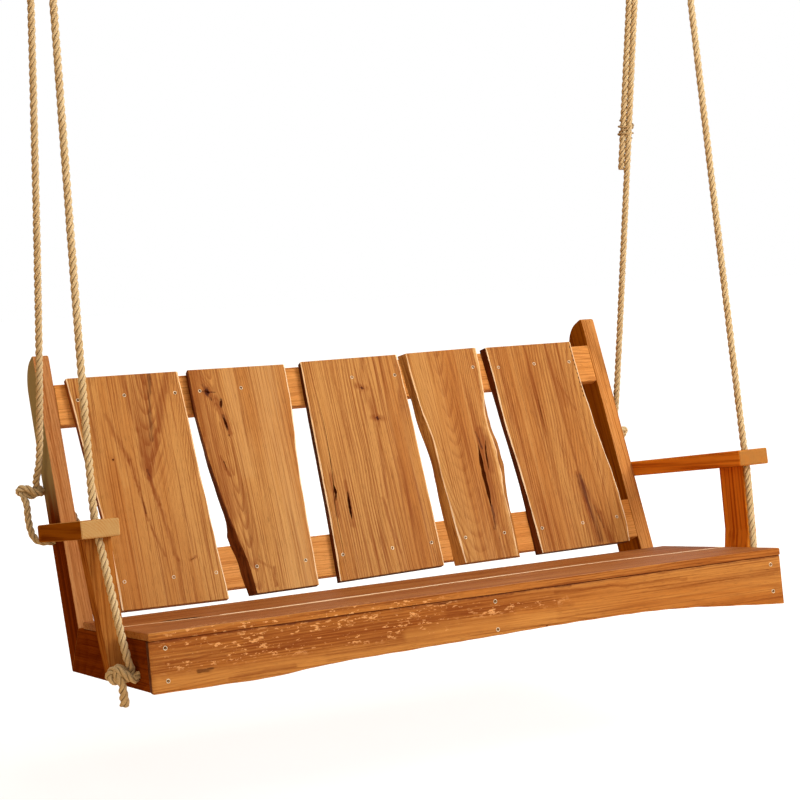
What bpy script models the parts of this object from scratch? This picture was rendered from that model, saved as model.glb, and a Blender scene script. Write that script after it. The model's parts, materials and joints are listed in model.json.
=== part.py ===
"""Porch swing: a live-edge wooden bench on four ropes that meet at two ceiling rings.

The bench is drawn level, in its own frame: X to the right, Y from the seat's front edge
to the rear, Z up from the seat's top. An empty on the hinge line then hangs it at rest.
"""
import math

import bmesh
import bpy
from mathutils import Matrix, Vector

for old in list(bpy.data.objects):
    bpy.data.objects.remove(old)

# ---------------------------------------------------------------- driving dimensions (m)
GAP = 0.0003                      # clearance between touching pieces
HALF_WIDTH = 0.762                # half of the 60 inch seat
BOARD = 0.038                     # thickness of posts, rails and armrests
SEAT_DEPTH = 0.486
SEAT_THICK = 0.016
FRAME_TOP = -SEAT_THICK - GAP     # where the seat boards rest
FRAME_FOOT = -0.118               # lower edge of the side rails
APRON_FACE = 0.003
APRON_THICK = 0.019
RAIL_START = APRON_FACE + APRON_THICK + GAP

BACK_LEAN = math.radians(16.9)    # lean of the backrest from vertical
BACK_FOOT_Y = 0.536               # front edge of the back posts at seat height
POST_TOP = 0.639                  # along the lean
POST_WIDTH_TOP = 0.094
POST_TAPER = 0.0245               # the posts widen downwards by this much per metre
SLAT_THICK = 0.020
BACK_RAIL_THICK = 0.025

ARM_TOP = 0.231                   # top of the armrest at its front end
ARM_FALL = 0.023                  # fall of the armrest per metre rearward
ARM_FRONT = 0.121
ARM_INNER = HALF_WIDTH + GAP
ARM_OUTER = 0.845
ARM_REAR = 0.650
ARM_ROUNDING = 0.004
ARM_POST_FRONT = 0.165
ARM_POST_FOOT = -0.100

ROPE = 0.017                      # rope diameter
STRAND = 0.0088                   # half the spacing of two strands side by side
RING_X = 0.771
RING_Y = 0.182
RING_RADIUS = 0.033
WIRE = 0.0045                     # radius of the ring's and the eye's rod
EYE_RADIUS = 0.016
PIVOT = Vector((0.0, RING_Y, 2.1437))   # hinge line, in the bench's frame
CEILING_DROP = 0.050              # hinge line below the ceiling
PLATE_RADIUS = 0.038
PLATE_THICK = 0.005
HANG_TILT = math.radians(-7.15)   # brings the bench's weight under the hinge line

# ---------------------------------------------------------------- collections, empties
parts = bpy.data.collections.new("porch_swing")
cutters = bpy.data.collections.new("cutters")
for group in (parts, cutters):
    bpy.context.scene.collection.children.link(group)

swing_pivot = bpy.data.objects.new("swing_pivot", None)
swing_pivot.location = (0.0, 0.0, -CEILING_DROP)
swing_pivot.rotation_euler = (HANG_TILT, 0.0, 0.0)
parts.objects.link(swing_pivot)
bench_frame = bpy.data.objects.new("bench_frame", None)
bench_frame.parent = swing_pivot
bench_frame.location = -PIVOT
parts.objects.link(bench_frame)


def material(name, colour, roughness, metallic=0.0):
    mat = bpy.data.materials.new(name)
    mat.use_nodes = True
    shader = mat.node_tree.nodes["Principled BSDF"]
    shader.inputs["Base Color"].default_value = (*colour, 1.0)
    shader.inputs["Roughness"].default_value = roughness
    shader.inputs["Metallic"].default_value = metallic
    return mat


WOOD = (0.45, 0.20, 0.07)
DARK_WOOD = (0.20, 0.07, 0.025)
PALE_WOOD = (0.56, 0.30, 0.11)
HEMP = (0.58, 0.45, 0.26)
TWINE = (0.60, 0.50, 0.34)
STEEL = (0.45, 0.45, 0.46)


# ---------------------------------------------------------------- building blocks
def add_piece(name, mesh, colour, parent=bench_frame, matrix=Matrix(), rough=0.4, metal=0.0):
    obj = bpy.data.objects.new(name, mesh)
    parts.objects.link(obj)
    obj.parent = parent
    obj.matrix_local = matrix
    obj.data.materials.clear()
    obj.data.materials.append(material(name, colour, rough, metal))
    return obj


def curve_mesh(curve):
    """A mesh of a curve's solid, with its loose caps welded on."""
    holder = bpy.data.objects.new("curve_holder", curve)
    bpy.context.scene.collection.objects.link(holder)
    bpy.context.view_layer.update()
    evaluated = holder.evaluated_get(bpy.context.evaluated_depsgraph_get())
    mesh = bpy.data.meshes.new_from_object(evaluated)
    bpy.data.objects.remove(holder)
    bm = bmesh.new()
    bm.from_mesh(mesh)
    bmesh.ops.remove_doubles(bm, verts=bm.verts, dist=0.00002)
    bmesh.ops.recalc_face_normals(bm, faces=bm.faces)
    bm.to_mesh(mesh)
    bm.free()
    return mesh


def outline_mesh(outlines, thickness):
    """A flat outline, with any inner outlines as holes, as thick as stated about its plane."""
    curve = bpy.data.curves.new("outline", "CURVE")
    curve.dimensions = "2D"
    curve.fill_mode = "BOTH"
    curve.extrude = thickness / 2
    for points in outlines:
        spline = curve.splines.new("POLY")
        spline.points.add(len(points) - 1)
        spline.use_cyclic_u = True
        for corner, (a, b) in zip(spline.points, points):
            corner.co = (a, b, 0.0, 1.0)
    return curve_mesh(curve)


def tube_mesh(route, radius, sides=3):
    curve = bpy.data.curves.new("tube", "CURVE")
    curve.dimensions = "3D"
    curve.bevel_depth = radius
    curve.bevel_resolution = sides
    curve.use_fill_caps = True
    spline = curve.splines.new("POLY")
    spline.points.add(len(route) - 1)
    for corner, place in zip(spline.points, route):
        corner.co = (*place, 1.0)
    return curve_mesh(curve)


def soften(obj, width, segments=2):
    """Small rounding on every sharp edge."""
    bevel = obj.modifiers.new("rounding", "BEVEL")
    bevel.width = width
    bevel.segments = segments
    bevel.limit_method = "ANGLE"
    bevel.angle_limit = math.radians(40)


def cut(obj, cutter):
    """Take a cutter, drawn in the same frame as the piece, out of the piece."""
    cutters.objects.link(cutter)
    cutter.parent = bench_frame
    cutter.display_type = "WIRE"
    cutter.hide_render = True
    boolean = obj.modifiers.new("cut_" + cutter.name, "BOOLEAN")
    boolean.operation = "DIFFERENCE"
    boolean.solver = "EXACT"
    boolean.object = cutter


def rod_between(name, start, end, radius, sides=24):
    """A plain cylinder from one point to another, used as a drill."""
    start, end = Vector(start), Vector(end)
    bm = bmesh.new()
    length = (end - start).length
    bmesh.ops.create_cone(
        bm, cap_ends=True, segments=sides, radius1=radius, radius2=radius, depth=length
    )
    mesh = bpy.data.meshes.new(name)
    bm.to_mesh(mesh)
    bm.free()
    obj = bpy.data.objects.new(name, mesh)
    turn = (end - start).to_track_quat("Z", "Y").to_matrix().to_4x4()
    obj.matrix_local = Matrix.Translation((start + end) / 2) @ turn
    return obj


def upright_plane(x_centre):
    """Outline axes (a, b) become (Y, Z), and thickness runs along X."""
    return Matrix(((0, 0, 1, x_centre), (1, 0, 0, 0), (0, 1, 0, 0), (0, 0, 0, 1)))


def facing_plane(y_centre):
    """Outline axes (a, b) become (X, Z), and thickness runs along Y."""
    return Matrix(((1, 0, 0, 0), (0, 0, -1, y_centre), (0, 1, 0, 0), (0, 0, 0, 1)))


def back_plane(stand_off):
    """Outline axes (x, along) lie in the leaning back, stand_off in front of the posts."""
    sine, cosine = math.sin(BACK_LEAN), math.cos(BACK_LEAN)
    y = BACK_FOOT_Y - stand_off * cosine
    z = stand_off * sine
    return Matrix(((1, 0, 0, 0), (0, sine, -cosine, y), (0, cosine, sine, z), (0, 0, 0, 1)))


def back_point(along, stand_off):
    """(y, z) of a point at that height along the lean, that far in front of the posts."""
    y = BACK_FOOT_Y + along * math.sin(BACK_LEAN) - stand_off * math.cos(BACK_LEAN)
    z = along * math.cos(BACK_LEAN) + stand_off * math.sin(BACK_LEAN)
    return y, z


def value_at(stations, t):
    """A value read at t from (t, value) stations, straight between neighbours."""
    for (t0, v0), (t1, v1) in zip(stations, stations[1:]):
        if t <= t1:
            part = (t - t0) / (t1 - t0)
            return v0 + (v1 - v0) * part
    return stations[-1][1]


def box_piece(name, low, high, colour, rounding=0.002, matrix=Matrix()):
    bm = bmesh.new()
    bmesh.ops.create_cube(bm, size=1.0)
    low, high = Vector(low), Vector(high)
    bmesh.ops.scale(bm, vec=high - low, verts=bm.verts)
    bmesh.ops.translate(bm, vec=(high + low) / 2, verts=bm.verts)
    mesh = bpy.data.meshes.new(name)
    bm.to_mesh(mesh)
    bm.free()
    obj = add_piece(name, mesh, colour, matrix=matrix)
    soften(obj, rounding)
    return obj


# ---------------------------------------------------------------- seat boards
# Where the two boards meet: (x, y).
SEAM = [(-0.762, 0.236), (-0.700, 0.226), (-0.637, 0.210), (-0.531, 0.200), (-0.431, 0.194),
        (-0.230, 0.207), (-0.030, 0.222), (0.170, 0.238), (0.372, 0.249), (0.500, 0.240),
        (0.640, 0.224), (0.762, 0.210)]
SEAT_ROUNDING = 0.0022


def seat_boards():
    middle = Matrix.Translation((0, 0, -SEAT_THICK / 2))
    front = [(-HALF_WIDTH, 0.0), (HALF_WIDTH, 0.0)]
    front += [(x, y - GAP / 2) for x, y in reversed(SEAM)]
    rear = [(x, y + GAP / 2) for x, y in SEAM]
    rear += [(HALF_WIDTH, SEAT_DEPTH), (-HALF_WIDTH, SEAT_DEPTH)]
    for name, outline in (("seat_board_front", front), ("seat_board_rear", rear)):
        board = add_piece(name, outline_mesh([outline], SEAT_THICK), WOOD, matrix=middle)
        soften(board, SEAT_ROUNDING)


# ---------------------------------------------------------------- frame under the seat
APRON_ROUNDING = 0.0015
# Lower edge of the apron: (x, z).
APRON_EDGE = [(-0.762, -0.121), (-0.620, -0.121), (-0.512, -0.121), (-0.441, -0.116),
              (-0.367, -0.1115), (-0.250, -0.109), (-0.130, -0.107), (0.000, -0.105),
              (0.151, -0.102), (0.297, -0.101), (0.387, -0.102), (0.448, -0.104),
              (0.525, -0.109), (0.602, -0.116), (0.680, -0.123), (0.762, -0.130)]


def front_apron():
    outline = list(APRON_EDGE) + [(HALF_WIDTH, FRAME_TOP), (-HALF_WIDTH, FRAME_TOP)]
    place = facing_plane(APRON_FACE + APRON_THICK / 2)
    apron = add_piece("front_apron", outline_mesh([outline], APRON_THICK), WOOD, matrix=place)
    soften(apron, APRON_ROUNDING)


LAP_TOP = 0.532                   # Y of the slanting joint's two ends
LAP_FOOT = 0.619
RAIL_HOLE_RADIUS = 0.0098
POST_HOLE_RADIUS = 0.0100
ARM_HOLE_RADIUS = 0.0115
DRILL_REACH = 0.010               # how far a drill stands out of the wood at each end
EDGE_ROUNDING = 0.0015


def lap_seam(shift):
    """The slanting joint between side rail and back post, moved along Y by shift."""
    return [(LAP_TOP + shift, FRAME_TOP), (LAP_FOOT + shift, FRAME_FOOT)]


def post_rear(along):
    return -(POST_WIDTH_TOP + (POST_TOP - along) * POST_TAPER)


def side_rail(side, sign):
    top, foot = lap_seam(-GAP)
    outline = [(RAIL_START, FRAME_FOOT), foot, top, (RAIL_START, FRAME_TOP)]
    x_centre = sign * (HALF_WIDTH - BOARD / 2)
    rail = add_piece(
        "side_rail_" + side, outline_mesh([outline], BOARD), DARK_WOOD,
        matrix=upright_plane(x_centre),
    )
    soften(rail, EDGE_ROUNDING)
    inner = sign * (HALF_WIDTH - BOARD * 0.75 - 0.002)
    reach = outline_mesh([lap_half(-GAP)], BOARD / 2 + 0.004 + GAP)
    lap = bpy.data.objects.new("lap_in_rail_" + side, reach)
    lap.matrix_local = upright_plane(inner + sign * GAP / 2)
    cut(rail, lap)
    for drill in rail_drills(side, sign):
        cut(rail, drill)


def lap_half(shift):
    """Outline of all that lies behind the post's front edge, below the seat."""
    top = back_point(0.030, 0.0)
    foot = back_point(-0.150, 0.0)
    return [(foot[0] + shift, foot[1]), (0.72, foot[1]), (0.72, top[1]), (top[0] + shift, top[1])]


def rail_drills(side, sign):
    """Two holes through the side rail for the front rope's loop."""
    drills = []
    for number, y in enumerate(loop_holes(side)):
        start = (sign * (HALF_WIDTH + DRILL_REACH), y, RAIL_LOOP_Z)
        end = (sign * (HALF_WIDTH - BOARD - DRILL_REACH), y, RAIL_LOOP_Z)
        drills.append(rod_between(f"rail_hole_{side}_{number}", start, end, RAIL_HOLE_RADIUS))
    return drills


CENTRE_RAIL_LEFT = -0.008
CENTRE_RAIL_FOOT = -0.098
STRETCHER_FRONT = 0.440
STRETCHER_FOOT = -0.095


def middle_frame():
    low = (CENTRE_RAIL_LEFT, RAIL_START, CENTRE_RAIL_FOOT)
    high = (CENTRE_RAIL_LEFT + BOARD, STRETCHER_FRONT - GAP, FRAME_TOP)
    box_piece("centre_rail", low, high, WOOD)
    inside = HALF_WIDTH - BOARD - GAP
    low = (-inside, STRETCHER_FRONT, STRETCHER_FOOT)
    high = (inside, STRETCHER_FRONT + BOARD, FRAME_TOP)
    box_piece("rear_stretcher", low, high, WOOD)


# ---------------------------------------------------------------- backrest
POST_FOOT = -0.090                # along the lean
POST_CORNER = 0.062               # radius of the rear top corner


def post_outline():
    """Side view of a back post, its rear top corner rounded."""
    sine, cosine = math.sin(BACK_LEAN), math.cos(BACK_LEAN)
    rear_foot = post_rear(POST_FOOT)
    outline = [back_point(FRAME_FOOT / cosine, 0.0),
               back_point((FRAME_FOOT - rear_foot * sine) / cosine, rear_foot)]
    for along in (0.200, 0.420):
        outline.append(back_point(along, post_rear(along)))
    radius = POST_CORNER
    centre_along = POST_TOP - radius
    centre_off = post_rear(POST_TOP) + radius
    for step in range(9):
        angle = math.radians(90 * step / 8)
        along = centre_along + radius * math.sin(angle)
        off = centre_off - radius * math.cos(angle)
        outline.append(back_point(along, off))
    outline.append(back_point(POST_TOP + 0.001, -0.008))
    outline.append(back_point(POST_TOP - 0.004, -0.001))
    outline.append(back_point(POST_TOP - 0.012, 0.0))
    return outline


def back_post(side, sign):
    x_centre = sign * (HALF_WIDTH - BOARD / 2)
    post = add_piece(
        "back_post_" + side, outline_mesh([post_outline()], BOARD), DARK_WOOD,
        matrix=upright_plane(x_centre),
    )
    soften(post, EDGE_ROUNDING)
    top, foot = lap_seam(0.0)
    slope = (foot[0] - top[0]) / (top[1] - foot[1])
    ahead = 0.40                  # well in front of the post
    below, above = FRAME_FOOT - 0.082, FRAME_TOP + 0.001
    wedge = [(ahead, below), (foot[0] + (foot[1] - below) * slope, below),
             (top[0] - (above - top[1]) * slope, above), (ahead, above)]
    half = outline_mesh([wedge], BOARD / 2 + 0.004)
    lap = bpy.data.objects.new("lap_in_post_" + side, half)
    lap.matrix_local = upright_plane(sign * (HALF_WIDTH - BOARD * 0.25 + 0.002))
    cut(post, lap)
    hole_from = (sign * (HALF_WIDTH + DRILL_REACH), *POST_HOLE)
    hole_to = (sign * (HALF_WIDTH - BOARD - DRILL_REACH), *POST_HOLE)
    cut(post, rod_between("post_hole_" + side, hole_from, hole_to, POST_HOLE_RADIUS))


def back_rails():
    inside = HALF_WIDTH - BOARD - GAP
    for name, low, high in (
        ("upper_back_rail", 0.462, 0.5625),
        ("lower_back_rail", 0.030, 0.131),
    ):
        outline = [(-inside, low), (inside, low), (inside, high), (-inside, high)]
        rail = add_piece(
            name, outline_mesh([outline], BACK_RAIL_THICK), WOOD,
            matrix=back_plane(-BACK_RAIL_THICK / 2),
        )
        soften(rail, EDGE_ROUNDING)


# Each slat has a left and a right edge: (height along the lean, x in front, x behind).
SLATS = {
    "back_slat_1": (
        [(0.005, -0.6615, -0.6615), (0.130, -0.6625, -0.6625), (0.232, -0.6695, -0.669),
         (0.366, -0.6825, -0.682), (0.490, -0.6920, -0.692), (0.569, -0.6990, -0.699)],
        [(0.002, -0.4065, -0.4065), (0.132, -0.4125, -0.4125), (0.238, -0.4160, -0.416),
         (0.324, -0.4195, -0.4195), (0.450, -0.4220, -0.422), (0.567, -0.4265, -0.4265)],
    ),
    "back_slat_2": (
        [(0.005, -0.3400, -0.352), (0.065, -0.3440, -0.360), (0.108, -0.3515, -0.3665),
         (0.135, -0.3580, -0.3725), (0.153, -0.3617, -0.3765), (0.168, -0.3650, -0.3735),
         (0.190, -0.3694, -0.373), (0.234, -0.3775, -0.379), (0.297, -0.3870, -0.387),
         (0.347, -0.3940, -0.392), (0.435, -0.4010, -0.398), (0.501, -0.4035, -0.401),
         (0.568, -0.4025, -0.400)],
        [(0.007, -0.1807, -0.181), (0.136, -0.1770, -0.177), (0.227, -0.1735, -0.1735),
         (0.317, -0.1690, -0.169), (0.409, -0.1600, -0.160), (0.460, -0.1550, -0.155),
         (0.565, -0.1525, -0.1525)],
    ),
    "back_slat_3": (
        [(0.0085, -0.1260, -0.127), (0.136, -0.1200, -0.1205), (0.257, -0.1170, -0.117),
         (0.380, -0.1140, -0.114), (0.568, -0.1095, -0.109)],
        [(0.015, 0.1520, 0.152), (0.161, 0.1540, 0.154), (0.286, 0.1545, 0.1545),
         (0.413, 0.1560, 0.156), (0.569, 0.1530, 0.153)],
    ),
    "back_slat_4": (
        [(0.013, 0.2100, 0.190), (0.093, 0.2060, 0.189), (0.168, 0.2025, 0.187),
         (0.241, 0.1995, 0.189), (0.294, 0.2000, 0.188), (0.340, 0.1985, 0.182),
         (0.387, 0.1915, 0.176), (0.435, 0.1845, 0.174), (0.513, 0.1800, 0.169),
         (0.570, 0.1785, 0.164)],
        [(0.0145, 0.3590, 0.372), (0.127, 0.3615, 0.377), (0.182, 0.3620, 0.379),
         (0.230, 0.3660, 0.384), (0.265, 0.3675, 0.388), (0.300, 0.3665, 0.387),
         (0.354, 0.3610, 0.380), (0.401, 0.3640, 0.379), (0.457, 0.3740, 0.381),
         (0.572, 0.3800, 0.382)],
    ),
    "back_slat_5": (
        [(0.014, 0.4270, 0.417), (0.091, 0.4250, 0.418), (0.168, 0.4225, 0.419),
         (0.254, 0.4180, 0.4165), (0.367, 0.4110, 0.410), (0.481, 0.4100, 0.404),
         (0.570, 0.4076, 0.400)],
        [(0.0165, 0.6845, 0.6845), (0.062, 0.6886, 0.6886), (0.122, 0.6894, 0.6894),
         (0.188, 0.6866, 0.6866), (0.255, 0.6794, 0.6794), (0.317, 0.6730, 0.673),
         (0.389, 0.6685, 0.6685), (0.448, 0.6640, 0.664), (0.502, 0.6620, 0.662),
         (0.5695, 0.6605, 0.6605)],
    ),
}
SLAT_STEPS = 16


def slat(name, left, right):
    """A loft between the slat's unlike front and rear outlines."""
    bm = bmesh.new()
    rows = []
    for step in range(SLAT_STEPS + 1):
        share = step / SLAT_STEPS
        row = []
        for edge in (left, right):
            along = edge[0][0] + share * (edge[-1][0] - edge[0][0])
            front = value_at([(t, x) for t, x, _ in edge], along)
            rear = value_at([(t, x) for t, _, x in edge], along)
            row.append(bm.verts.new((front, along, SLAT_THICK / 2)))
            row.append(bm.verts.new((rear, along, -SLAT_THICK / 2)))
        rows.append((row[0], row[2], row[3], row[1]))
    for lower, upper in zip(rows, rows[1:]):
        for k in range(4):
            nxt = (k + 1) % 4
            bm.faces.new((lower[k], lower[nxt], upper[nxt], upper[k]))
    bm.faces.new(rows[0])
    bm.faces.new(rows[-1])
    bmesh.ops.recalc_face_normals(bm, faces=bm.faces)
    mesh = bpy.data.meshes.new(name)
    bm.to_mesh(mesh)
    bm.free()
    place = back_plane(SLAT_THICK / 2 + GAP)
    obj = add_piece(name, mesh, PALE_WOOD, matrix=place)
    soften(obj, 0.0018, segments=1)


# ---------------------------------------------------------------- arms
def arm_top(y):
    return ARM_TOP - ARM_FALL * (y - ARM_FRONT)


def armrest(side, sign):
    """Flat board that tapers behind and has the rope's hole near its front end."""
    outline = [(ARM_INNER, ARM_FRONT), (ARM_OUTER, ARM_FRONT), (ARM_OUTER, 0.440),
               (0.8435, 0.470), (0.838, 0.505), (0.829, 0.545), (0.817, 0.585),
               (0.803, 0.620), (0.790, 0.642), (0.780, ARM_REAR), (ARM_INNER, ARM_REAR)]
    outline = [(sign * x, y) for x, y in outline]
    tilt = Matrix.Rotation(-math.atan(ARM_FALL), 4, "X")
    place = Matrix.Translation((0, 0, arm_top(0) - BOARD / 2)) @ tilt
    arm = add_piece("armrest_" + side, outline_mesh([outline], BOARD), PALE_WOOD, matrix=place)
    soften(arm, ARM_ROUNDING)
    above = (sign * 0.8046, 0.1583, ARM_TOP + DRILL_REACH)
    below = (sign * 0.8003, 0.1484, ARM_TOP - BOARD - DRILL_REACH)
    cut(arm, rod_between("arm_hole_" + side, above, below, ARM_HOLE_RADIUS))


# Front views of the arm posts, x counted outward, with their depths from front to rear. Each
# lies flat against the side rail below the seat; the right one stands clear of it above.
ARM_POSTS = {
    "left": ([(ARM_INNER, ARM_POST_FOOT), (0.7970, ARM_POST_FOOT), (0.8085, 0.0), (0.8325, 0.210),
              (0.7725, 0.210), (ARM_INNER, 0.0)], 0.045),
    "right": ([(ARM_INNER, ARM_POST_FOOT), (0.8060, ARM_POST_FOOT), (0.8160, -0.050),
               (0.8205, 0.030), (0.8215, 0.120), (0.8220, 0.210), (0.7975, 0.210), (0.7970, 0.120),
               (0.7965, 0.040), (0.7900, -0.004), (0.7790, -0.018), (ARM_INNER, -0.023)], 0.095),
}


def arm_post(side, sign):
    """Shaped board, its top cut to the slope of the armrest."""
    outline, depth = ARM_POSTS[side]
    outline = [(sign * x, z) for x, z in outline]
    post = add_piece(
        "arm_post_" + side, outline_mesh([outline], depth), PALE_WOOD,
        matrix=facing_plane(ARM_POST_FRONT + depth / 2),
    )
    bm = bmesh.new()
    bmesh.ops.create_cube(bm, size=1.0)
    size = Vector((0.30, 0.30, 0.10))
    bmesh.ops.scale(bm, vec=size, verts=bm.verts)
    block_mesh = bpy.data.meshes.new("block_" + side)
    bm.to_mesh(block_mesh)
    bm.free()
    block = bpy.data.objects.new("arm_slope_" + side, block_mesh)
    y = ARM_POST_FRONT + depth / 2
    centre = (sign * ARM_OUTER, y, arm_top(y) - BOARD - GAP + size.z / 2)
    slope = Matrix.Rotation(-math.atan(ARM_FALL), 4, "X")
    block.matrix_local = Matrix.Translation(centre) @ slope
    cut(post, block)
    soften(post, EDGE_ROUNDING)


# ---------------------------------------------------------------- ropes
RAIL_LOOP_Z = -0.088
POST_HOLE = (0.673, 0.178)
ARM_HOLE_TOP = Vector((0.8040, 0.157, 0.229))
ARM_HOLE_FOOT = Vector((0.8010, 0.150, 0.192))
FRONT_KNOT = {"left": Vector((0.790, 0.103, -0.085)), "right": Vector((0.792, 0.122, -0.085))}
FRONT_KNOT_HALF = Vector((0.027, 0.042, 0.023))
FRONT_ENTRY = {"left": Vector((-0.010, -0.010, 0.0255)), "right": Vector((-0.016, 0.000, 0.0255))}
REAR_KNOT = {"left": Vector((0.797, 0.720, 0.296)), "right": Vector((0.804, 0.720, 0.296))}
REAR_KNOT_HALF = Vector((0.033, 0.020, 0.018))
REAR_END = Vector((0.7840, 0.7045, 0.3215))
TAIL_END_Z = {"front_left": 1.70, "front_right": 1.70, "rear_left": 1.70, "rear_right": 0.975}
LASHING_Z = {"front_left": 1.76, "front_right": 1.76, "rear_left": 1.76, "rear_right": 1.075}

# The bend over the ring, outboard half: (x from the ring, y, z), from the bend's top down.
FRONT_BEND = [(0.0004, 0.1728, 2.1030), (0.0045, 0.1728, 2.1030), (0.0095, 0.1716, 2.1006),
              (0.0142, 0.1700, 2.0970), (0.0172, 0.1680, 2.0910), (0.0180, 0.1668, 2.0840),
              (0.0174, 0.1664, 2.0700), (0.0155, 0.1662, 2.0500), (0.0122, 0.1660, 2.0200),
              (STRAND, 0.1658, 1.9850)]
REAR_BEND = [(0.0004, 0.1912, 2.1030), (0.0045, 0.1912, 2.1030), (0.0095, 0.1924, 2.1006),
             (0.0142, 0.1940, 2.0970), (0.0172, 0.1965, 2.0910), (0.0180, 0.1990, 2.0840),
             (0.0174, 0.2035, 2.0700), (0.0155, 0.2095, 2.0500), (0.0122, 0.2180, 2.0200),
             (STRAND, 0.2275, 1.9850)]
# The loop from the rear knot through the post's hole and back.
REAR_LOOP = [(0.8065, 0.7165, 0.2755), (0.8080, 0.7160, 0.2500), (0.8070, 0.7145, 0.2230),
             (0.8035, 0.7100, 0.2000), (0.7980, 0.7010, 0.1860), (0.7890, 0.6880, 0.1795),
             (0.7780, 0.6775, 0.1780), (0.7620, 0.6730, 0.1780), (0.7430, 0.6730, 0.1780),
             (0.7240, 0.6732, 0.1780), (0.7090, 0.6790, 0.1810), (0.6995, 0.6910, 0.1920),
             (0.6965, 0.7050, 0.2100), (0.7000, 0.7190, 0.2320), (0.7090, 0.7315, 0.2540),
             (0.7220, 0.7400, 0.2710), (0.7370, 0.7435, 0.2820), (0.7525, 0.7432, 0.2905),
             (0.7660, 0.7425, 0.2960)]


def loop_holes(side):
    """Y of the two holes in the side rail, either side of the front knot."""
    centre = FRONT_KNOT[side].y + 0.005
    return (centre - 0.020, centre + 0.020)


def filled(route):
    """Extra points wherever neighbours stand more than 2.5 diameters apart."""
    points = [Vector(p) for p in route]
    full = [points[0]]
    for start, end in zip(points, points[1:]):
        steps = max(1, math.ceil((end - start).length / (2.5 * ROPE)))
        full += [start.lerp(end, k / steps) for k in range(1, steps + 1)]
    return full


def mirrored(route, sign):
    return [Vector((sign * p[0], p[1], p[2])) for p in route]


def main_route(which, side):
    """From the top of the bend over the ring down to the knot."""
    if which == "front":
        entry = FRONT_KNOT[side] + FRONT_ENTRY[side]
        bend = [(RING_X + dx, y, z) for dx, y, z in FRONT_BEND]
        return bend + [ARM_HOLE_TOP, ARM_HOLE_FOOT, entry]
    bend = [(RING_X + dx, y, z) for dx, y, z in REAR_BEND]
    return bend + [Vector((0.7790, 0.6790, 0.3670)), REAR_END]


def at_height(route, z):
    """The point of a descending route at height z."""
    for start, end in zip(route, route[1:]):
        start, end = Vector(start), Vector(end)
        if start.z >= z >= end.z:
            return start.lerp(end, (start.z - z) / (start.z - end.z))
    return Vector(route[-1])


def tail_route(which, side):
    """The doubled strand, inboard of the main one, from the ring to its cut end."""
    bend = FRONT_BEND if which == "front" else REAR_BEND
    route = [(RING_X - dx, y, z) for dx, y, z in bend]
    low = at_height(main_route(which, side), TAIL_END_Z[which + "_" + side])
    return route + [low - Vector((2 * STRAND, 0, 0))]


def add_rope(name, route, sign):
    mesh = tube_mesh(filled(mirrored(route, sign)), ROPE / 2)
    return add_piece(name, mesh, HEMP, rough=0.85)


def knot(name, centre, half, sign):
    """The outer shape of a hand-tied knot."""
    bm = bmesh.new()
    bmesh.ops.create_uvsphere(bm, u_segments=20, v_segments=12, radius=1.0)
    mesh = bpy.data.meshes.new(name)
    bm.to_mesh(mesh)
    bm.free()
    place = Matrix.Translation((sign * centre.x, centre.y, centre.z))
    return add_piece(name, mesh, HEMP, matrix=place @ Matrix.Diagonal((*half, 1.0)), rough=0.85)


def front_loop_route(side):
    """Out of the knot, through one hole in the rail, round and back through the other."""
    near, far = loop_holes(side)
    z = RAIL_LOOP_Z
    outside, inside = HALF_WIDTH, HALF_WIDTH - BOARD
    return [(outside, near, z), (inside, near, z), (inside - 0.009, near + 0.0008, z),
            (inside - 0.0195, near + 0.006, z), (inside - 0.0245, near + 0.020, z),
            (inside - 0.0195, far - 0.006, z), (inside - 0.009, far - 0.0008, z),
            (inside, far, z), (outside, far, z)]


def lashing(name, which, side, sign):
    """A band of thin cord round both strands."""
    z = LASHING_Z[which + "_" + side]
    route = main_route(which, side)
    here = at_height(route, z)
    above = at_height(route, z + 0.05)
    centre = here - Vector((STRAND, 0, 0))
    run = (above - here).normalized()
    run.x *= sign
    across = Vector((1, 0, 0)) - run * run.x
    across.normalize()
    third = run.cross(across)
    turn = Matrix((across, third, run)).transposed().to_4x4()
    place = Matrix.Translation((sign * centre.x, centre.y, centre.z)) @ turn
    outlines = [stadium(ROPE / 2 + 0.0026), stadium(ROPE / 2 + 0.0005)]
    mesh = outline_mesh(outlines, 0.030)
    return add_piece(name, mesh, TWINE, matrix=place, rough=0.9)


def stadium(radius):
    points = []
    for end in (1, -1):
        for step in range(9):
            angle = math.radians(-90 + 22.5 * step)
            points.append(
                (end * (STRAND + radius * math.cos(angle)), end * radius * math.sin(angle))
            )
    return points


def ropes(side, sign):
    for which in ("front", "rear"):
        add_rope(f"rope_{which}_{side}", main_route(which, side), sign)
        add_rope(f"rope_tail_{which}_{side}", tail_route(which, side), sign)
        lashing(f"rope_lashing_{which}_{side}", which, side, sign)
    centre = FRONT_KNOT[side]
    knot("knot_front_" + side, centre, FRONT_KNOT_HALF, sign)
    knot("knot_rear_" + side, REAR_KNOT[side], REAR_KNOT_HALF, sign)
    add_rope("rope_loop_front_" + side, front_loop_route(side), sign)
    add_rope("rope_loop_rear_" + side, REAR_LOOP, sign)
    end = [centre + Vector((0.000, 0.003, -0.0262)), centre + Vector((0.003, 0.021, -0.061))]
    add_rope("rope_end_front_" + side, end, sign)


# ---------------------------------------------------------------- rings and ceiling fittings
def torus_mesh(name, radius, rod):
    bpy.ops.mesh.primitive_torus_add(
        major_radius=radius, minor_radius=rod, major_segments=36, minor_segments=12
    )
    made = bpy.context.object
    mesh = made.data
    mesh.name = name
    bpy.data.objects.remove(made)
    return mesh


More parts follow.
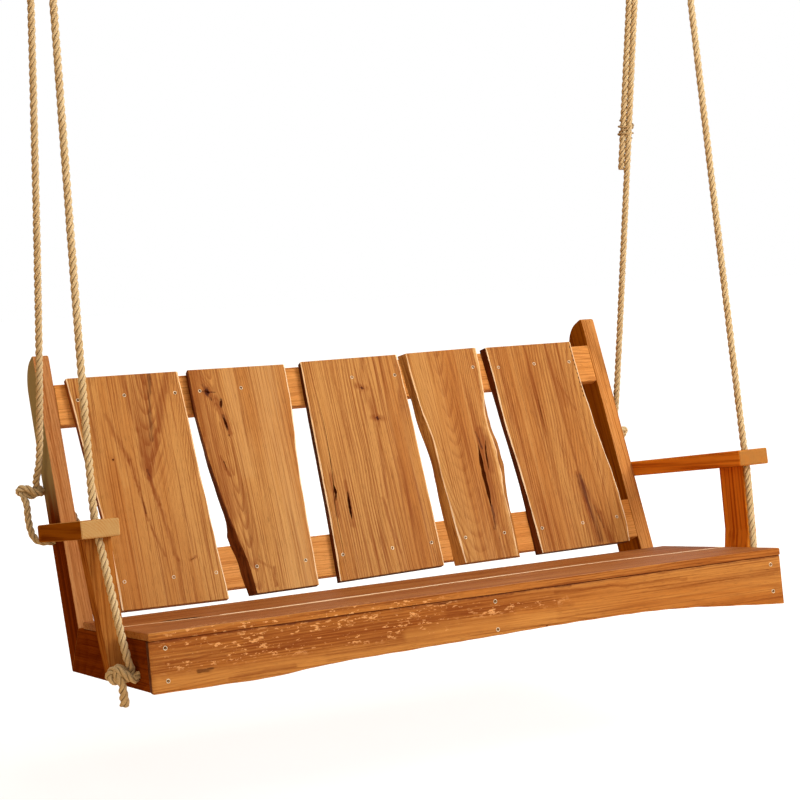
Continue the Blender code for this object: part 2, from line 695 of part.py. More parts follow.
def ring(side, sign):
    """Welded ring that rides on the ceiling eye and carries both ropes of one side."""
    mesh = torus_mesh("ring_" + side, RING_RADIUS, WIRE)
    centre_z = PIVOT.z + 2 * WIRE + GAP - RING_RADIUS
    place = Matrix.Translation((sign * RING_X, RING_Y, centre_z))
    place = place @ Matrix.Rotation(math.radians(90), 4, "Y")
    add_piece("ring_" + side, mesh, STEEL, matrix=place, rough=0.35, metal=1.0)


def ceiling_eye(side, sign):
    """Closed eye on a short shank, its lowest rod on the hinge line."""
    mesh = torus_mesh("ceiling_eye_" + side, EYE_RADIUS, WIRE)
    place = Matrix.Translation((sign * RING_X, 0, EYE_RADIUS - CEILING_DROP))
    place = place @ Matrix.Rotation(math.radians(90), 4, "X")
    eye = add_piece(
        "ceiling_eye_" + side, mesh, STEEL, parent=None, matrix=place, rough=0.35, metal=1.0
    )
    foot = 2 * EYE_RADIUS - CEILING_DROP - WIRE * 0.6
    shank = rod_between(
        "shank_" + side, (sign * RING_X, 0, foot),
        (sign * RING_X, 0, -PLATE_THICK - GAP), 0.0050, sides=20,
    )
    cutters.objects.link(shank)
    shank.display_type = "WIRE"
    shank.hide_render = True
    union = eye.modifiers.new("shank", "BOOLEAN")
    union.operation = "UNION"
    union.solver = "EXACT"
    union.object = shank


def ceiling_plate(side, sign):
    bm = bmesh.new()
    bmesh.ops.create_cone(
        bm, cap_ends=True, segments=48, radius1=PLATE_RADIUS, radius2=PLATE_RADIUS,
        depth=PLATE_THICK,
    )
    mesh = bpy.data.meshes.new("ceiling_plate_" + side)
    bm.to_mesh(mesh)
    bm.free()
    place = Matrix.Translation((sign * RING_X, 0, -PLATE_THICK / 2))
    plate = add_piece(
        "ceiling_plate_" + side, mesh, STEEL, parent=None, matrix=place, rough=0.35, metal=1.0
    )
    soften(plate, 0.001)


# ---------------------------------------------------------------- fasteners that show
APRON_SCREWS = {
    "apron_screw_1": (-0.7285, -0.033), "apron_screw_2": (-0.7285, -0.098),
    "apron_screw_3": (0.011, -0.032), "apron_screw_4": (0.011, -0.0925),
    "apron_screw_5": (0.734, -0.036), "apron_screw_6": (0.734, -0.098),
}


def apron_screw(name, x, z):
    """Dome head that stands on the apron's face."""
    bm = bmesh.new()
    bmesh.ops.create_cone(
        bm, cap_ends=True, segments=20, radius1=0.0045, radius2=0.0030, depth=0.0014
    )
    mesh = bpy.data.meshes.new(name)
    bm.to_mesh(mesh)
    bm.free()
    stand = APRON_FACE - GAP - 0.0007
    place = Matrix.Translation((x, stand, z)) @ Matrix.Rotation(math.radians(90), 4, "X")
    add_piece(name, mesh, STEEL, matrix=place, rough=0.4, metal=1.0)


# ---------------------------------------------------------------- assembly
seat_boards()
front_apron()
middle_frame()
back_rails()
for slat_name, (left_edge, right_edge) in SLATS.items():
    slat(slat_name, left_edge, right_edge)
for side_name, side_sign in (("left", -1), ("right", 1)):
    side_rail(side_name, side_sign)
    back_post(side_name, side_sign)
    arm_post(side_name, side_sign)
    armrest(side_name, side_sign)
    ropes(side_name, side_sign)
    ring(side_name, side_sign)
    ceiling_eye(side_name, side_sign)
    ceiling_plate(side_name, side_sign)
for screw_name, (screw_x, screw_z) in APRON_SCREWS.items():
    apron_screw(screw_name, screw_x, screw_z)
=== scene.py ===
"""Looks of the porch swing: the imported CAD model, ropes with real strands, live-edge wood."""
import json
from math import atan2, ceil, cos, pi, radians, sin, tau

import bmesh
import bpy
from mathutils import Matrix, Vector, noise


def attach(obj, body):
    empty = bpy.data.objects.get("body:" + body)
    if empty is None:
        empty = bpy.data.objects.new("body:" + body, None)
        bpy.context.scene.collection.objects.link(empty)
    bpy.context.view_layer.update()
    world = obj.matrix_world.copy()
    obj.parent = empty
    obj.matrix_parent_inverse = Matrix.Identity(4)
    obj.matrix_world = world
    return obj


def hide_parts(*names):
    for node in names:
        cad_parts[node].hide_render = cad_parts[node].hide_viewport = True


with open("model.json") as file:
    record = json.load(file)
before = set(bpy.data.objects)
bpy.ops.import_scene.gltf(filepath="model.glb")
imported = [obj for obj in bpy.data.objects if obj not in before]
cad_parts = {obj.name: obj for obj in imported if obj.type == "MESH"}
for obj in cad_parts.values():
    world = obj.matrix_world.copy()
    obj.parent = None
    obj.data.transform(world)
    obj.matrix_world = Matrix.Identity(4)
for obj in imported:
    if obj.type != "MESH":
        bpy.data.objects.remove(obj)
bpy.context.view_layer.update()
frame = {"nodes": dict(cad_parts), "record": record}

# ---- the bench's own frame
# The bench is described level: X right, Y from the seat's front edge rearward, Z up from
# the seat's top. It hangs, tilted, from the hinge line.
JOINT = frame["record"]["behaviour"]["joints"][0]
HINGE = Vector(JOINT["pos_m"])
SEAT_UP = Vector(next(m for m in frame["record"]["mounts"] if m["name"] == "seat_top")["axis"])
TILT = -atan2(SEAT_UP.y, SEAT_UP.z)
PIVOT = Vector((0, 0.182, 2.1437))
BENCH = Matrix.Translation(HINGE) @ Matrix.Rotation(TILT, 4, "X") @ Matrix.Translation(-PIVOT)


def bench(x, y, z):
    return BENCH @ Vector((x, y, z))


# ---- small helpers
SIDES = ((-1, "left"), (1, "right"))


def wavy(x, y, z):
    """Smooth noise, about -1 to 1."""
    return noise.noise(Vector((x, y, z)))


def link(name, data):
    obj = bpy.data.objects.new(name, data)
    bpy.context.scene.collection.objects.link(obj)
    return obj


def finish_mesh(bm, name):
    mesh = bpy.data.meshes.new(name)
    bm.to_mesh(mesh)
    bm.free()
    return link(name, mesh)


def band(bm, low, high):
    """Faces between two rings of vertices, each with the number of the vertex it starts at."""
    count = len(low)
    faces = []
    for k in range(count):
        nxt = (k + 1) % count
        faces.append((k, bm.faces.new((low[k], low[nxt], high[nxt], high[k]))))
    return faces


def evaluated_mesh(obj):
    """The object's mesh with its modifiers or bevel applied."""
    bpy.context.view_layer.update()
    evaluated = obj.evaluated_get(bpy.context.evaluated_depsgraph_get())
    return bpy.data.meshes.new_from_object(evaluated)


def hand_over(piece, nodes=(), materials=()):
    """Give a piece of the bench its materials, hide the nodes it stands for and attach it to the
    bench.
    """
    for mat in materials:
        piece.data.materials.append(mat)
    if nodes:
        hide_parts(*nodes)
    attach(piece, "bench")


def metres(rows, plain=0):
    """Rows of millimetres as metres; each row's last few values stay as they are."""
    return [tuple(v / 1000 for v in row[:len(row) - plain]) + tuple(row[len(row) - plain:])
            for row in rows]


def resample(points, step):
    """Even points along a Catmull-Rom curve through the given ones."""
    fine = []
    padded = [points[0] * 2 - points[1]] + list(points) + [points[-1] * 2 - points[-2]]
    for a, b, c, d in zip(padded, padded[1:], padded[2:], padded[3:]):
        count = max(2, ceil((c - b).length / 0.002))
        t1 = (b - a).length ** 0.5 + 1e-9
        t2 = t1 + (c - b).length ** 0.5
        t3 = t2 + (d - c).length ** 0.5 + 1e-9
        for k in range(count):
            t = t1 + (t2 - t1) * k / count
            ab = a.lerp(b, t / t1)
            bc = b.lerp(c, (t - t1) / (t2 - t1))
            cd = c.lerp(d, (t - t2) / (t3 - t2))
            abc = ab.lerp(bc, t / t2)
            bcd = bc.lerp(cd, (t - t1) / (t3 - t1))
            fine.append(abc.lerp(bcd, (t - t1) / (t2 - t1)))
    fine.append(points[-1].copy())
    total = sum((q - p).length for p, q in zip(fine, fine[1:]))
    count = max(2, round(total / step))
    even, walked, target = [fine[0]], 0, total / count
    for p, q in zip(fine, fine[1:]):
        span = (q - p).length
        while walked + span >= target and len(even) < count:
            even.append(p.lerp(q, (target - walked) / span))
            target += total / count
        walked += span
    even.append(fine[-1])
    return even, total


def tangents_of(points):
    last = len(points) - 1
    return [(points[min(k + 1, last)] - points[max(k - 1, 0)]).normalized()
            for k in range(last + 1)]


def frames_along(points):
    """A pair of steady cross directions at each point of a path."""
    tangents = tangents_of(points)
    side = tangents[0].orthogonal().normalized()
    pairs = []
    for tangent in tangents:
        side = (side - tangent * side.dot(tangent)).normalized()
        pairs.append((side.copy(), tangent.cross(side)))
    return pairs


# ---- camera
CAMERA_AT = Vector((-1.7941, -3.4696, 0.3188))
YAW = radians(25.1)
PITCH = radians(1.448)
ROLL = radians(-5.532)


def add_camera():
    """Camera placed in the bench's frame, where the bench is level."""
    forward = Vector((sin(YAW) * cos(PITCH), cos(YAW) * cos(PITCH),
                      sin(PITCH)))
    right = Vector((cos(YAW), -sin(YAW), 0))
    up = right.cross(forward)
    rolled_right = cos(ROLL) * right + sin(ROLL) * up
    rolled_up = -sin(ROLL) * right + cos(ROLL) * up
    turn = Matrix((rolled_right, rolled_up, -forward)).transposed().to_4x4()
    data = bpy.data.cameras.new("camera")
    data.sensor_width = 36
    data.lens = 81.84
    data.clip_end = 60
    camera = link("camera", data)
    camera.matrix_world = BENCH @ Matrix.Translation(CAMERA_AT) @ turn
    bpy.context.scene.camera = camera
    return turn


VIEW_TURN = add_camera()


# ---- ropes
ROPE = 0.017
STRAND_RADIUS = 0.005  # each of the rope's three strands
STRAND_OFFSET = 0.0038  # from the rope's middle to a strand's middle
STRAND_SIDES = 9
ROPE_STEP = 0.0045  # between the rings of a strand
LAY_LENGTH = 0.052  # one whole twist of the rope
FLARE_LENGTH = 0.045  # how much of a cut end has loosened
RING_X = 0.771
STRAND = 0.0088  # half the distance between two ropes side by side


def rope_mesh(name, path, start_turn=0, flare=0):
    """Three strands laid round each other along a path; the map runs along and round them."""
    points, total = resample(path, ROPE_STEP)
    pairs = frames_along(points)
    last = len(points) - 1
    bm = bmesh.new()
    uv_layer = bm.loops.layers.uv.new("strand")
    sides = STRAND_SIDES
    for strand in range(3):
        rings = []
        for k, (point, (a, b)) in enumerate(zip(points, pairs)):
            walked = total * k / last
            turn = start_turn + tau * (walked / LAY_LENGTH + strand / 3)
            out = a * cos(turn) + b * sin(turn)
            swell = 1 + 0.05 * wavy(walked * 30, strand * 7.3, total)
            swell += flare * max(0, 1 - (total - walked) / FLARE_LENGTH)
            centre = point + out * STRAND_OFFSET * swell
            across = a.cross(b).cross(out)
            ring = []
            for s in range(sides):
                angle = tau * s / sides
                rim = out * cos(angle) + across * sin(angle)
                ring.append(bm.verts.new(centre + rim * STRAND_RADIUS * swell))
            rings.append(ring)
        for k, (low, high) in enumerate(zip(rings, rings[1:])):
            for s, face in band(bm, low, high):
                face.smooth = True
                corners = ((k, s), (k, s + 1), (k + 1, s + 1), (k + 1, s))
                for loop, (step, turned) in zip(face.loops, corners):
                    u = total * step / last
                    loop[uv_layer].uv = (u * 10 + strand * 0.37, turned / sides)
        bm.faces.new(list(reversed(rings[0])))
        bm.faces.new(rings[-1])
    return finish_mesh(bm, name), points, total


# The strand's bend through its ring: (out from the ring, height, y in front, y behind).
BEND = [(0.0004, 2.103, 0.1728, 0.1912), (0.0045, 2.103, 0.1728, 0.1912),
        (0.0095, 2.1006, 0.1716, 0.1924), (0.0142, 2.097, 0.17, 0.194),
        (0.0172, 2.091, 0.168, 0.1965), (0.018, 2.084, 0.1668, 0.199),
        (0.0174, 2.07, 0.1664, 0.2035), (0.0155, 2.05, 0.1662, 0.2095),
        (0.0122, 2.02, 0.166, 0.218), (STRAND, 1.985, 0.1658, 0.2275)]
ARM_HOLE = [(0.804, 0.157, 0.229), (0.801, 0.15, 0.192)]
FRONT_KNOT = {-1: Vector((0.79, 0.103, -0.085)), 1: Vector((0.792, 0.122, -0.085))}
FRONT_ENTRY = {-1: Vector((-0.01, -0.01, 0.0255)), 1: Vector((-0.016, 0, 0.0255))}
REAR_KNOT = {-1: Vector((0.797, 0.72, 0.296)), 1: Vector((0.804, 0.72, 0.296))}
FRONT_TAIL_END = {-1: -0.062, 1: -0.049}
REAR_APPROACH = [(0.779, 0.679, 0.367), (0.784, 0.7045, 0.3215)]
TAIL_END_Z = {("front", -1): 1.7, ("front", 1): 1.7, ("rear", -1): 1.7, ("rear", 1): 0.975}

# Knots, as points right, up and towards the viewer in mm, drawn for the left side.
FRONT_KNOT_WAY = [(15, 12, -6), (10, -5, -10), (-4, -13, -5), (-19, -11, 3), (-28, -1, 5),
                  (-22, 9, 6), (-8, 11, 9), (6, 4, 13), (17, -5, 10), (26, -8, 6)]
FRONT_KNOT_BACK = [(8, 2, -22), (-4, 9, -14), (-12, 14, -4), (-12, 6, 8), (-7, -6, 10),
                   (-2, -17, 4), (-1, -26, 0)]
REAR_KNOT_WAY = [(13, 8, -8), (10, -7, -8), (-4, -9, -4), (-20, -5, 3), (-25, 4, 6), (-14, 9, 9),
    (2, 6, 10), (16, -1, 9), (24, -3, 0), (15, 1, -10), (0, 0, -9), (-13, -8, -2)]
REAR_KNOT_END = [(20, 2, -8), (27, 7, 0)]
REAR_LOOP = [(0.8075, 0.7165, 0.265), (0.808, 0.716, 0.245), (0.807, 0.7145, 0.223),
    (0.8035, 0.71, 0.2), (0.798, 0.701, 0.186), (0.789, 0.688, 0.1795), (0.778, 0.6775, 0.178),
    (0.762, 0.673, 0.178), (0.743, 0.673, 0.178), (0.724, 0.6732, 0.178), (0.709, 0.679, 0.181),
    (0.6995, 0.691, 0.192), (0.6965, 0.705, 0.21), (0.7, 0.719, 0.232), (0.709, 0.7315, 0.254),
    (0.722, 0.74, 0.271), (0.737, 0.7435, 0.282), (0.7525, 0.7432, 0.2905), (0.768, 0.74, 0.296)]
RAIL_LOOP_Z = -0.088


def front_loop(sign):
    near = FRONT_KNOT[sign].y - 0.015
    far = near + 0.04
    z = RAIL_LOOP_Z
    return [(0.766, near, z), (0.743, near, z), (0.724, near, z), (0.715, near + 0.0008, z),
            (0.7045, near + 0.006, z), (0.6995, near + 0.02, z), (0.7045, far - 0.006, z),
            (0.715, far - 0.0008, z), (0.724, far, z), (0.743, far, z), (0.764, far, z)]


def left_points(way, centre):
    """A knot's way round its centre, as points of the left side with x made positive."""
    points = []
    for offset in way:
        turned = VIEW_TURN.to_3x3() @ (Vector(offset) * 0.001)
        points.append(Vector((centre.x - turned.x, centre.y + turned.y, centre.z + turned.z)))
    return points


def ring_bend(which, way_out):
    """The strand's bend through the ring, leaving it outward (1) or inward (-1)."""
    return [(RING_X + way_out * dx, front if which == "front" else rear, z)
            for dx, z, front, rear in BEND]


def main_way(which, sign):
    """The whole rope from the ring to its far end, x counted outward from the middle."""
    bend = ring_bend(which, 1)
    if which == "front":
        centre = FRONT_KNOT[sign]
        way = bend + ARM_HOLE + [centre + FRONT_ENTRY[sign]]
        way += left_points(FRONT_KNOT_WAY, centre) + front_loop(sign)
        way += left_points(FRONT_KNOT_BACK, centre)
        return way + [centre + Vector((-0.003, 0.019, FRONT_TAIL_END[sign]))]
    centre = REAR_KNOT[sign]
    way = bend + REAR_APPROACH + left_points(REAR_KNOT_WAY, centre) + REAR_LOOP
    return way + left_points(REAR_KNOT_END, centre)


def world_way(way, sign):
    return [bench(sign * p[0], p[1], p[2]) for p in way]


def add_ropes(rope_material):
    for sign, side in SIDES:
        for which, flare in (("front", 0.25), ("rear", 0)):
            place = f"{which}_{side}"
            way = world_way(main_way(which, sign), sign)
            piece, points, total = rope_mesh("laid_rope_" + place, way, flare=flare)
            nodes = ["rope_" + place, "knot_" + place, "rope_loop_" + place]
            if which == "front":
                nodes.append("rope_end_" + place)
            hand_over(piece, nodes, [rope_material])


# ---- tail strands, lashings
def at_height(way, z):
    """The point of a descending way at height z."""
    for start, end in zip(way, way[1:]):
        start, end = Vector(start), Vector(end)
        if start.z >= z >= end.z:
            return start.lerp(end, (start.z - z) / (start.z - end.z))
    return Vector(way[-1])


def tail_way(which, sign):
    """The strand turned back through the ring, inboard of the main one."""
    way = ring_bend(which, -1)
    low = at_height(main_way(which, sign), TAIL_END_Z[which, sign])
    start = Vector(way[-1])
    end = low - Vector((2 * STRAND, 0, 0))
    return way + [start.lerp(end, k / 6) for k in range(1, 7)]


LASHINGS = {("front", -1): (1.94, 1.76), ("front", 1): (1.94, 1.76),
            ("rear", -1): (1.94, 1.76), ("rear", 1): (1.94, 1.5, 1.075)}
HEAVY_BELOW = 1.4  # the lowest lashing is of thicker, looser cord
TWINE = 0.0022
THICK_TWINE = 0.0046
TURN_STEPS = 20


def lashing_mesh(name, which, sign, heights):
    """Turns of thin cord round both strands, laid side by side."""
    way = main_way(which, sign)
    paths = []
    for z in heights:
        heavy = z < HEAVY_BELOW
        turns, pitch, cord, stray = ((3.6, 0.0115, THICK_TWINE, 0.0035) if heavy
                                     else (6, 0.0044, TWINE, 0.0006))
        here, above = at_height(way, z), at_height(way, z + 0.05)
        run = (above - here).normalized()
        across = Vector((1, 0, 0))
        across = (across - run * across.dot(run)).normalized()
        third = run.cross(across)
        path = []
        steps = int(turns * TURN_STEPS)
        for k in range(steps + 1):
            angle = tau * k / TURN_STEPS
            shift = STRAND * (1 if cos(angle) >= 0 else -1)
            shift *= min(1, abs(cos(angle)) * 3)
            reach = ROPE / 2 + cord * 0.42
            if heavy:
                reach += 0.0016 * sin(angle * 0.5)
            spot = here - Vector((STRAND, 0, 0)) + across * (shift + reach * cos(angle))
            spot = spot + third * reach * sin(angle)
            wander = stray * sin(angle * 0.7 + z * 40)
            spot = spot + run * (pitch * (k - steps / 2) / TURN_STEPS + wander)
            path.append(bench(sign * spot.x, spot.y, spot.z))
        paths.append((path, cord / TWINE))
    curve = bpy.data.curves.new(name, "CURVE")
    curve.dimensions = "3D"
    curve.bevel_depth = TWINE / 2
    curve.bevel_resolution = 2
    curve.use_fill_caps = True
    for path, thickness in paths:
        spline = curve.splines.new("POLY")
        spline.points.add(len(path) - 1)
        for corner, place in zip(spline.points, path):
            corner.co = (*place, 1)
            corner.radius = thickness
    holder = link("holder", curve)
    mesh = evaluated_mesh(holder)
    bpy.data.objects.remove(holder)
    for face in mesh.polygons:
        face.use_smooth = True
    return link(name, mesh)


def add_tails(rope_material, twine_material):
    for sign, side in SIDES:
        for which in ("front", "rear"):
            place = f"{which}_{side}"
            way = world_way(tail_way(which, sign), sign)
            piece, points, total = rope_mesh("laid_tail_" + place, way, start_turn=1)
            hand_over(piece, ["rope_tail_" + place], [rope_material])
            wrap = lashing_mesh("lashing_" + place, which, sign, LASHINGS[which, sign])
            hand_over(wrap, ["rope_lashing_" + place], [twine_material])


# ---- node helpers
class Nodes:
    """Short ways to add and wire shader nodes of a material or a world."""

    def __init__(self, owner):
        owner.use_nodes = True
        self.mat = owner
        self.tree = owner.node_tree
        self.shader = self.tree.nodes.get("Principled BSDF")

    def add(self, kind, **settings):
        node = self.tree.nodes.new("ShaderNode" + kind)
        for key, value in settings.items():
            setattr(node, key, value)
        return node

    def wire(self, source, target):
        if isinstance(source, (int, float, tuple, Vector)):
            target.default_value = source
        else:
            self.tree.links.new(source, target)

    def set(self, **values):
        """Values or wires for the shader's sockets, spaces in their names as underscores."""
        for key, value in values.items():
            self.wire(value, self.shader.inputs[key.replace("_", " ")])

    def coordinate(self, kind="Object"):
        return self.add("TexCoord").outputs[kind]

    def make(self, kind, values, output=0, **settings):
        """Add a node, wire its inputs and give one of its outputs."""
        node = self.add(kind, **settings)
        for key, value in values.items():
            self.wire(value, node.inputs[key])
        return node.outputs[output]

    def join(self, *parts):
        return self.make("CombineXYZ", dict(enumerate(parts)))

    def split(self, vector):
        node = self.add("SeparateXYZ")
        self.wire(vector, node.inputs[0])
        return node.outputs

    def math(self, operation, a, b=0, c=0, clamp=False):
        return self.make("Math", {0: a, 1: b, 2: c}, operation=operation, use_clamp=clamp)

    def plus(self, a, b):
        return self.math("ADD", a, b)

    def minus(self, a, b):
        return self.math("SUBTRACT", a, b)

    def times(self, a, b):
        return self.math("MULTIPLY", a, b)

    def divided(self, a, b):
        return self.math("DIVIDE", a, b)

    def fused(self, a, b, c):
        """a times b, plus c."""
        return self.math("MULTIPLY_ADD", a, b, c)

    def larger(self, a, b):
        return b if a is None else self.math("MAXIMUM", a, b)

    def vector(self, operation, a, b=(0, 0, 0)):
        output = "Value" if operation in ("LENGTH", "DOT_PRODUCT") else "Vector"
        return self.make("VectorMath", {0: a, 1: b}, output, operation=operation)

    def noise(self, vector, scale, detail=3, rough=0.55):
        return self.make("TexNoise", {"Vector": vector, "Scale": scale, "Detail": detail,
                                      "Roughness": rough}, "Fac")

    def level(self, value, low, high, to_low=0, to_high=1, kind="SMOOTHSTEP"):
        return self.make("MapRange", {"Value": value, "From Min": low, "From Max": high,
                                      "To Min": to_low, "To Max": to_high},
                         "Result", interpolation_type=kind)

    def mix(self, factor, *colours):
        a, b = ((*c, 1) if isinstance(c, tuple) else c for c in colours)
        return self.make("Mix", {0: factor, 6: a, 7: b}, 2, data_type="RGBA")

    def bump(self, height, strength, distance):
        self.set(Normal=self.make("Bump", {"Strength": strength, "Distance": distance,
                                           "Height": height}, "Normal"))


def new_material(name):
    return Nodes(bpy.data.materials.new(name))


# ---- wood
# Tones of a board; the marks are the tones that strokes may have on any board. The line mark is a
# painted highlight, the gap mark is painted shade in gaps and checks, the light mark is a paler
# wood tone.
MARKS = {"line": (0.96, 0.78, 0.55), "light": (0.66, 0.38, 0.14), "gap": (0.02, 0.003, 0.001)}


def tones(*colours):
    return dict(zip(("pale", "body", "dark", "deep"), colours))


GOLD = tones((0.56, 0.282, 0.08), (0.46, 0.182, 0.038), (0.22, 0.052, 0.007), (0.05, 0.008, 0.002))
TAN = tones((0.57, 0.29, 0.115), (0.47, 0.205, 0.07), (0.26, 0.075, 0.018), (0.06, 0.012, 0.004))
RED = tones((0.43, 0.165, 0.044), (0.34, 0.1, 0.02), (0.17, 0.033, 0.005), (0.03, 0.005, 0.002))
# Dark brown: partly the wood's darker tone, partly painted shade on the side rails and on faces
# turned away from the light.
BROWN_AND_SHADE = tones((0.31, 0.078, 0.008), (0.205, 0.04, 0.003), (0.105, 0.015, 0.001),
    (0.02, 0.003, 0.001))
# Umber: painted shade on post and armrest faces turned away from the light.
UMBER_SHADE = tones((0.44, 0.165, 0.018), (0.33, 0.1, 0.006), (0.16, 0.033, 0.002), (0.03, 0.005, 0.001))
AMBER = tones((0.53, 0.24, 0.058), (0.42, 0.145, 0.025), (0.19, 0.043, 0.006),
    (0.035, 0.007, 0.002))
RAIL = tones((0.75, 0.345, 0.092), (0.66, 0.262, 0.054), (0.33, 0.088, 0.013),
    (0.04, 0.008, 0.002))
TAWNY = tones((0.68, 0.33, 0.108), (0.58, 0.24, 0.06), (0.28, 0.075, 0.013), (0.04, 0.008, 0.002))
# Flame orange: painted warm bounce light on the shaded inward faces of the arm posts and armrests.
WARM_BOUNCE_TONE = {"body": (0.9, 0.3, 0.03), "dark": (0.52, 0.11, 0.008)}
ORANGE = tones((0.74, 0.29, 0.035), (0.6, 0.185, 0.015), (0.3, 0.06, 0.005), (0.06, 0.01, 0.002))
# Edge tones: pale sanded wood on the chamfers, brightened as a painted highlight.
SANDED_EDGE_AND_HIGHLIGHT = tones((0.96, 0.78, 0.53), (0.9, 0.62, 0.34), (0.62, 0.3, 0.11), (0.25, 0.09, 0.03))
# Bark tones: dark bark on live sides, also used as painted shade in cracks and under the seat
# board's edge.
BARK_AND_SHADE = tones((0.2, 0.05, 0.009), (0.11, 0.021, 0.003), (0.05, 0.009, 0.002), (0.015, 0.003, 0.001))
PALE_END = (0.5, 0.32, 0.13)
BROWN_END = (0.36, 0.175, 0.05)
FLECK = (0.72, 0.37, 0.14)


